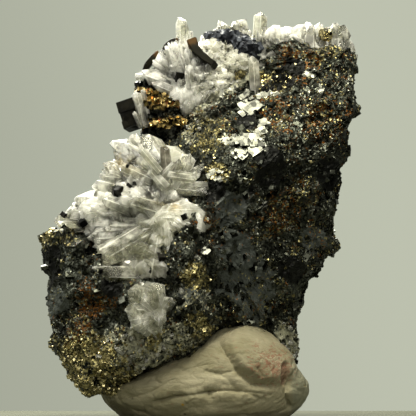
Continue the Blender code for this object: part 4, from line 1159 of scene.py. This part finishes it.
def bed(lumps, middle):
    """Massive quartz or rock: ellipsoids broken into facets, with a UV whose lines run out from the middle of
    the crystals' feet, seen from the front. Gives points, triangles and UV."""
    lumps = [ellipsoid(*sizes, 56, 28) for sizes in lumps]
    starts = np.cumsum([0] + [len(points) for points, *_ in lumps[:-1]])
    points = np.concatenate([lump[0] for lump in lumps])
    triangles = np.concatenate([lump[1] + start for lump, start in zip(lumps, starts)])
    relief = facets(points, 2.6, 1.0, 0.6, 77) + facets(points, 1.2, 0.5, 0.25, 78) + 0.3
    points = points + np.concatenate([lump[2] for lump in lumps]) * relief[:, None]
    seen = points[triangles.ravel()][:, [0, 2]] - middle[[0, 2]]
    return points, triangles, np.stack([np.arctan2(seen[:, 1], seen[:, 0]) * 4, np.hypot(*seen.T)], axis=1)


def free_prisms(cluster, feet, tips, widths, flatness, draw):
    """Crystals, without those that would hide a single pyrite or pass the cluster's top."""
    free = clear_of(feet, tips, widths) & under_limit(cluster, tips)
    return prisms(feet[free], tips[free], widths[free], draw.uniform(*flatness, free.sum()), draw)


def beside_crystals(cluster, share, draw):
    """Crystals of middle size, each beside a large one of the cluster and splayed a little from it."""
    bases, tips, widths, _ = as_arrays(CRYSTALS[cluster])
    count, away, splay, lengths, shares = BESIDE_CRYSTALS[cluster]
    parent = draw.integers(0, len(bases), int(count * share))
    way = tips[parent] - bases[parent]
    size = np.minimum(np.linalg.norm(way, axis=1), LONGEST_BESIDE)
    up = way * draw.uniform(0, 0.35, (len(parent), 1))
    feet = bases[parent] + up + draw.normal(0, 0.45 * away, way.shape)
    way = unit(unit(way) + draw.normal(0, splay, way.shape) * (1, 0.7, 1))
    size = size * draw.uniform(*lengths, len(parent))
    width = widths[parent] * draw.uniform(*shares, len(parent))
    return free_prisms(cluster, feet, feet + way * size[:, None], width, (0.6, 0.95), draw)


def short_crystals(cluster, share, draw):
    """Short crystals all over the cluster's solid, most of them small."""
    count, lean, lengths, half_widths = SHORT_CRYSTALS[cluster]
    places, normals = scattered(*node_surface(cluster), int(count * share), draw)
    ways = unit(normals * 0.6 + np.array(lean) * 0.8 + draw.normal(0, 0.33, normals.shape))
    size = draw.random(len(places)) ** 2
    length = lengths[0] + (lengths[1] - lengths[0]) * size
    width = half_widths[0] + (half_widths[1] - half_widths[0]) * size * draw.uniform(0.5, 1, len(places))
    feet = places - ways * (length * 0.3)[:, None]
    return free_prisms(cluster, feet, feet + ways * length[:, None], width, (0.6, 1), draw)


class BuildQuartz(bpy.types.Operator):
    """Grows the large crystals of each cluster, the bed they stand on and the fine ones between them"""

    bl_idname = "specimen.build_quartz"
    bl_label = "Quartz"

    def execute(self, context):
        quartz = settings().quartz
        clear = quartz_finish("clear_quartz", 0.92)
        milky = quartz_finish("milky_quartz", 0.85)
        masses = {
            "white": quartz_finish("massive_white_quartz", 0.45, depth=6.0 * MM),
            "grey": quartz_finish("massive_grey_quartz", 0.7, depth=6.0 * MM),
            "mottled": quartz_finish("mottled_grey_quartz", 0.5, 0.8),
            "rock": ore_finish(),
        }
        for name, crystals, finish, tone in (
            ("lone_crystals", LONE_CRYSTALS, quartz_finish("greenish_clear_quartz", 0.85), 0.55),
            ("smoky_crystals", SMOKY_CRYSTALS, quartz_finish("smoky_quartz", 0.6, dark="#2e2e26"), 0.15),
        ):
            points, triangles, uv = prisms(*as_arrays(crystals), np.random.default_rng(90))
            values = {"tone": np.full(len(points), tone), "stain": np.full(len(points), 0.15)}
            placed(mesh_piece(name, points, triangles, finish, values=values, uv=uv), [])
        for number, (cluster, crystals) in enumerate(CRYSTALS.items()):
            draw = np.random.default_rng(100 + number)
            bases, tips, widths, flats = as_arrays(crystals)
            made = prisms(bases, tips, widths + quartz.swell, flats, draw)
            placed(quartz_piece(f"{cluster}_crystals", made, clear), [cluster])
            for label, finish in masses.items():
                lumps = [sizes for kind, *sizes in BEDS[cluster] if kind == label]
                if not lumps:
                    continue
                name = f"{cluster}_{label}_bed"
                points, triangles, uv = bed(lumps, bases.mean(axis=0))
                if label == "rock":
                    rock = mesh_piece(name, points, triangles, finish, values=region_values(points))
                    placed(rock, [])
                else:
                    placed(quartz_piece(name, (points, triangles, uv), finish), [])
            if cluster in BESIDE_CRYSTALS:
                beside = beside_crystals(cluster, quartz.share, draw)
                placed(quartz_piece(f"{cluster}_beside", beside, milky), [])
                short = short_crystals(cluster, quartz.share, draw)
                placed(quartz_piece(f"{cluster}_short", short, clear), [])
        return {"FINISHED"}


class BuildPyrite(bpy.types.Operator):
    """Gives the pyrite, galena and blade nodes their finishes and adds small crystals to them"""

    bl_idname = "specimen.build_pyrite"
    bl_label = "Pyrite, galena and blades"

    def execute(self, context):
        brass = metal_finish("tarnished_brass_pyrite", "#3a3622", "#cdc08e", 0.588, 0.12, 0.35, 0.35)
        banded = banded_pyrite_finish()
        dark = metal_finish("dark_pyrite_crystal", "#060604", "#12110b", 1.11, 0.4, 0.6, 0.1, 0.2)
        galena = metal_finish("blue_black_galena", "#12141a", "#4a4e56", 0.667, 0.4, 0.6, 0.35, 0.4)
        blade_skin = blade_finish()
        for node, line, width, thickness in DARK_BLADES:
            points, faces, reach = blade(line, width, thickness)
            piece = mesh_piece(f"{node}_curved", points, faces, blade_skin, values={"reach": reach})
            placed(piece, [node])
        draw = np.random.default_rng(11)
        centres, halves = as_arrays(DARK_CRYSTALS)
        ways = unit(draw.normal(0, 1, centres.shape))
        made = cubes(centres, halves[:, None] * (1.0, 0.85, 0.75), ways, draw.uniform(0, 7, len(halves)))
        placed(mesh_piece("dark_crystals", *made, dark), [])
        skins = {
            "pyrite_cluster": banded,
            "pyrite_crystal_top": brass,
            "pyrite_crystal_centre": brass,
            "galena_cluster": galena,
        }
        for node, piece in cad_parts.items():
            finish = skins.get(node, dark if node.startswith("pyrite_") else None)
            if finish:
                piece.data.materials.clear()
                piece.data.materials.append(finish)
        for node, finish, slot, count, size in (
            ("pyrite_cluster", banded, "pyrite", 420, 0.36),
            ("galena_cluster", galena, "galena", 200, 0.3),
        ):
            draw = np.random.default_rng(len(node))
            places, normals = scattered(*node_surface(node), count, draw)
            ways = unit(normals + draw.normal(0, 0.3, normals.shape))
            sizes = sizes_about(size, 0.35, len(places), draw)
            made = cubes(places - ways * sizes[:, :1] * 0.6, sizes, ways, draw.uniform(0, 7, len(places)))
            placed(mesh_piece(f"{node}_small", *made, finish), [])
        return {"FINISHED"}


def putty_surface(columns, rows):
    """The model's lump on a fine grid: angle round it, and a row parameter from the foot over the bulge to
    the top."""
    ridge, centre = np.array(PUTTY_RIDGE), np.array(PUTTY_CENTRE)
    foot, bulge = np.array(PUTTY_FOOT), np.array(PUTTY_BULGE)
    turned = np.linspace(-math.pi, math.pi, columns, endpoint=False)
    angle = turned - 0.6 * np.sin(turned) - math.pi / 2  # closer together in front
    around = np.stack([np.cos(angle), np.sin(angle)], axis=1)
    around *= (1 + 0.02 * np.sin(3 * angle + 0.7) + 0.015 * np.sin(5 * angle + 2.0))[:, None]
    base = rows // 6
    share = np.linspace(0.0, 1.0, base)[1:, None, None]
    flat = centre + around * foot * share
    flat = np.concatenate([flat, np.zeros((*flat.shape[:2], 1))], axis=2)
    climb = np.linspace(0.0, 1.0, base, endpoint=False)[1:, None, None]
    side = centre + around * (foot + (bulge - foot) * np.sin(climb * math.pi / 2))
    side = np.concatenate([side, np.broadcast_to(PUTTY_BULGE_HEIGHT * climb, (*side.shape[:2], 1))], axis=2)
    turn = np.linspace(0.0, math.pi / 2, rows - 2 * base, endpoint=False)[:, None, None]
    over = centre + around * bulge * np.cos(turn) ** (2 / PUTTY_SQUARENESS)
    top = np.interp(over[..., :1], ridge[:, 0], ridge[:, 1])
    height = PUTTY_BULGE_HEIGHT + (top - PUTTY_BULGE_HEIGHT) * np.sin(turn) ** (2 / PUTTY_SQUARENESS)
    over = np.concatenate([over, height], axis=2)
    grid = np.concatenate([flat, side, over])
    summit = float(np.interp(centre[0], ridge[:, 0], ridge[:, 1]))
    points = np.concatenate([[[*centre, 0.0]], grid.reshape(-1, 3), [[*centre, summit]]])
    return points, closed_rings(len(grid), columns)


def outside(places, centre, shape):
    """How far places are outside a turned ellipse, 0 well inside to 1 well outside, with a quick change at
    its rim. Its shape is two half sizes and a turn in radians."""
    *half, turn = shape
    away = places - np.array(centre)
    cosine, sine = math.cos(turn), math.sin(turn)
    across = np.stack(
        [away[:, 0] * cosine + away[:, 1] * sine, away[:, 1] * cosine - away[:, 0] * sine], axis=1
    )
    level = np.clip((np.hypot(*(across / half).T) - 0.72) / 0.34, 0, 1)
    return level * level * (3 - 2 * level)


def groove(places, line, width):
    """How deep a groove is at places, 0 to 1: it falls off exponentially with the distance to a line."""
    line = np.array(line, float)
    nearest = np.full(len(places), 1e9)
    for start, end in zip(line[:-1], line[1:]):
        along = end - start
        share = np.clip(((places - start) @ along) / (along @ along), 0, 1)
        nearest = np.minimum(nearest, np.linalg.norm(places - start - share[:, None] * along, axis=1))
    return np.exp(-nearest / width)


class BuildPutty(bpy.types.Operator):
    """Kneads the lump of putty: a raised roll, creases, a torn pit and wrinkles"""

    bl_idname = "specimen.build_putty"
    bl_label = "Putty"

    def execute(self, context):
        depth = settings().putty.crease_depth
        points, triangles = putty_surface(detail(440), detail(200))
        ways = point_normals(points, triangles)
        front = np.clip(0.5 - points[:, 1] / 4, 0, 1)
        seen = points[:, [0, 2]]
        relief = (clouds(points, 9.0, 401) - 0.5) * 0.9 + (
            clouds(points * (0.5, 1, 1.6), 2.2, 402) - 0.5
        ) * 0.3
        folds = np.abs(clouds(points * (0.35, 0.6, 1.0), 3.5, 403, 2) - 0.5)
        relief -= 0.5 * np.exp(-((folds / 0.035) ** 2)) * (1 - 0.7 * front)
        wrinkles = np.abs(clouds(points * (0.6, 1.0, 1.0), 1.3, 406, 2) - 0.5)
        relief -= 0.12 * np.exp(-wrinkles / 0.03) + 0.1 * (clouds(points, 0.6, 407, 2) - 0.5)
        relief += front * PUTTY_ROLL[2] * (1 - outside(seen, *PUTTY_ROLL[:2]))
        for line, width, share in PUTTY_CREASES:
            broken = np.clip(2.2 * clouds(points, 2.0, 408) - 0.3, 0.25, 1)
            relief -= front * depth * share * groove(seen, line, width) * broken
        pit = front * (1 - outside(seen, *PUTTY_PIT[:2]))
        relief -= pit * (PUTTY_PIT[2] + 1.2 * (clouds(points, 1.1, 404) - 0.5))
        foot = np.clip(points[:, 2] / 1.2, 0, 1)
        points = points + ways * (relief * foot)[:, None]
        (x, z), reach = PUTTY_STAIN
        stain = front * np.clip(1.25 - np.hypot(points[:, 0] - x, (points[:, 2] - z) * 1.2) / reach, 0, 1)
        stain = np.maximum(stain, 0.35 * clouds(points, 6.0, 405))
        grey = np.clip((points[:, 0] - PUTTY_GREY_FROM) / 0.8, 0, 1)
        values = {"stain": stain, "pit": pit, "grey": grey}
        piece = mesh_piece("kneaded_putty", points, triangles, putty_finish(), smooth=True, values=values)
        placed(piece, ["putty_lump"])
        return {"FINISHED"}


def area_light(name, place, aim, size, power, colour):
    """A square lamp at a place, turned to its aim. Places and size are in metres, the power in watts."""
    lamp = bpy.data.lights.new(name, "AREA")
    lamp.size, lamp.energy, lamp.color = size, power, linear(colour)[:3]
    made = bpy.data.objects.new(name, lamp)
    made.location = place
    made.rotation_euler = (Vector(aim) - Vector(place)).to_track_quat("-Z", "Y").to_euler()
    bpy.context.scene.collection.objects.link(made)


class BuildStage(bpy.types.Operator):
    """Sets up the floor, the backdrop, the lamps and the camera"""

    bl_idname = "specimen.build_stage"
    bl_label = "Stage"

    def execute(self, context):
        stage = settings().stage
        scene = bpy.context.scene
        world = bpy.data.worlds.new("studio")
        scene.world = world
        world.use_nodes = True
        tree = world.node_tree
        tree.nodes.clear()
        path = add(tree, "LightPath").node.outputs
        seen = add(tree, MAXIMUM, path["Is Camera Ray"], path["Is Transmission Ray"])
        along = add(tree, "SeparateXYZ", add(tree, "TexCoord")).node.outputs
        glow = add(tree, RANGE, along["Y"], -0.3, 0.9, 0.03, 0.35)
        above = add(tree, RANGE, along["Z"], 0.0, 1.0, 0.0, 0.5)
        level = add(tree, ADD, glow, above)
        light = add(tree, "Background", Color=(*stage.backdrop, 1.0), Strength=level)
        sideways = add(tree, ADD, along["X"], add(tree, MULTIPLY, along["Z"], 0.35))
        shade = add(tree, RANGE, sideways, -0.14, 0.12, 0.78, 1.06)
        shown = add(tree, "Background", Color=(*stage.backdrop, 1.0), Strength=shade)
        add(tree, "OutputWorld", Surface=add(tree, "MixShader", seen, light, shown))

        area_light("key_softbox", (0.0, -0.1, 0.23), (0.0, 0.0, 0.045), 0.12, stage.key_power, "#fffae4")
        area_light("rear_softbox", (-0.03, 0.12, 0.16), (0.0, 0.0, 0.066), 0.12, stage.rear_power, "#fffdf0")
        area_light(
            "left_softbox", (-0.18, -0.04, 0.14), (-0.012, -0.005, 0.045), 0.12, stage.left_power, "#fffdf0"
        )
        area_light("front_fill", (0.12, -0.45, 0.2), (0.0, 0.0, 0.035), 0.3, stage.fill_power, "#fffbea")

        wide, deep = FLOOR_HALF
        floor_points = [(x, y, -z) for z in FLOOR_DEPTHS for x in (-wide, wide) for y in (-deep, deep)]
        faces = [(0, 2, 3, 1), (4, 5, 7, 6), (0, 1, 5, 4), (2, 6, 7, 3), (0, 4, 6, 2), (1, 3, 7, 5)]
        finish, tree, shader, place = new_finish("pale_floor")
        look = add(tree, "TexNoise", Vector=place, Scale=per_metre(16.7), Detail=3.0)
        colour = add(tree, MIX, look, linear("#5b5d52"), linear("#606257"))
        feed(shader, Base_Color=colour, Roughness=0.8, Specular_IOR_Level=0.1)
        mesh_piece("floor", floor_points, faces, finish)

        camera = bpy.data.cameras.new("camera")
        camera.lens, camera.clip_start, camera.clip_end = stage.lens, 0.01, 10.0
        eye = bpy.data.objects.new("camera", camera)
        aim = Vector(CAMERA_AIM) * MM
        drop = aim.z - stage.height
        eye.location = (aim.x, -math.sqrt(stage.distance**2 - drop**2), stage.height)
        eye.rotation_euler = (aim - eye.location).to_track_quat("-Z", "Y").to_euler()
        scene.collection.objects.link(eye)
        scene.camera = eye
        scene.view_settings.view_transform = "Standard"
        scene.view_settings.look = "None"
        scene.cycles.transmission_bounces = 16
        scene.cycles.max_bounces = 16
        return {"FINISHED"}


class SpecimenPanel(bpy.types.Panel):
    """Lists the specimen's settings and operators"""

    bl_idname = "VIEW3D_PT_specimen"
    bl_label = "Specimen"
    bl_space_type = "VIEW_3D"
    bl_region_type = "UI"
    bl_category = "Specimen"

    def draw(self, context):
        for label in ("ore", "quartz", "putty", "stage"):
            group = getattr(context.scene.specimen, label)
            box = self.layout.box()
            for key in group.__annotations__:
                box.prop(group, key)
        for operator in OPERATORS:
            self.layout.operator(operator.bl_idname)


OPERATORS = (BuildStage, BuildOre, BuildQuartz, BuildPyrite, BuildPutty)
CLASSES = (
    OreSettings, QuartzSettings, PuttySettings, StageSettings, SpecimenSettings, *OPERATORS, SpecimenPanel
)


def register():
    """Registers the classes and hangs the settings on the scene."""
    for cls in CLASSES:
        bpy.utils.register_class(cls)
    bpy.types.Scene.specimen = PointerProperty(type=SpecimenSettings)


def unregister():
    """Takes the settings and the classes away again."""
    del bpy.types.Scene.specimen
    for cls in reversed(CLASSES):
        bpy.utils.unregister_class(cls)


def main():
    """Builds every piece."""
    register()
    for operator in OPERATORS:
        group, name = operator.bl_idname.split(".")
        getattr(getattr(bpy.ops, group), name)()


if __name__ == "__main__":
    main()
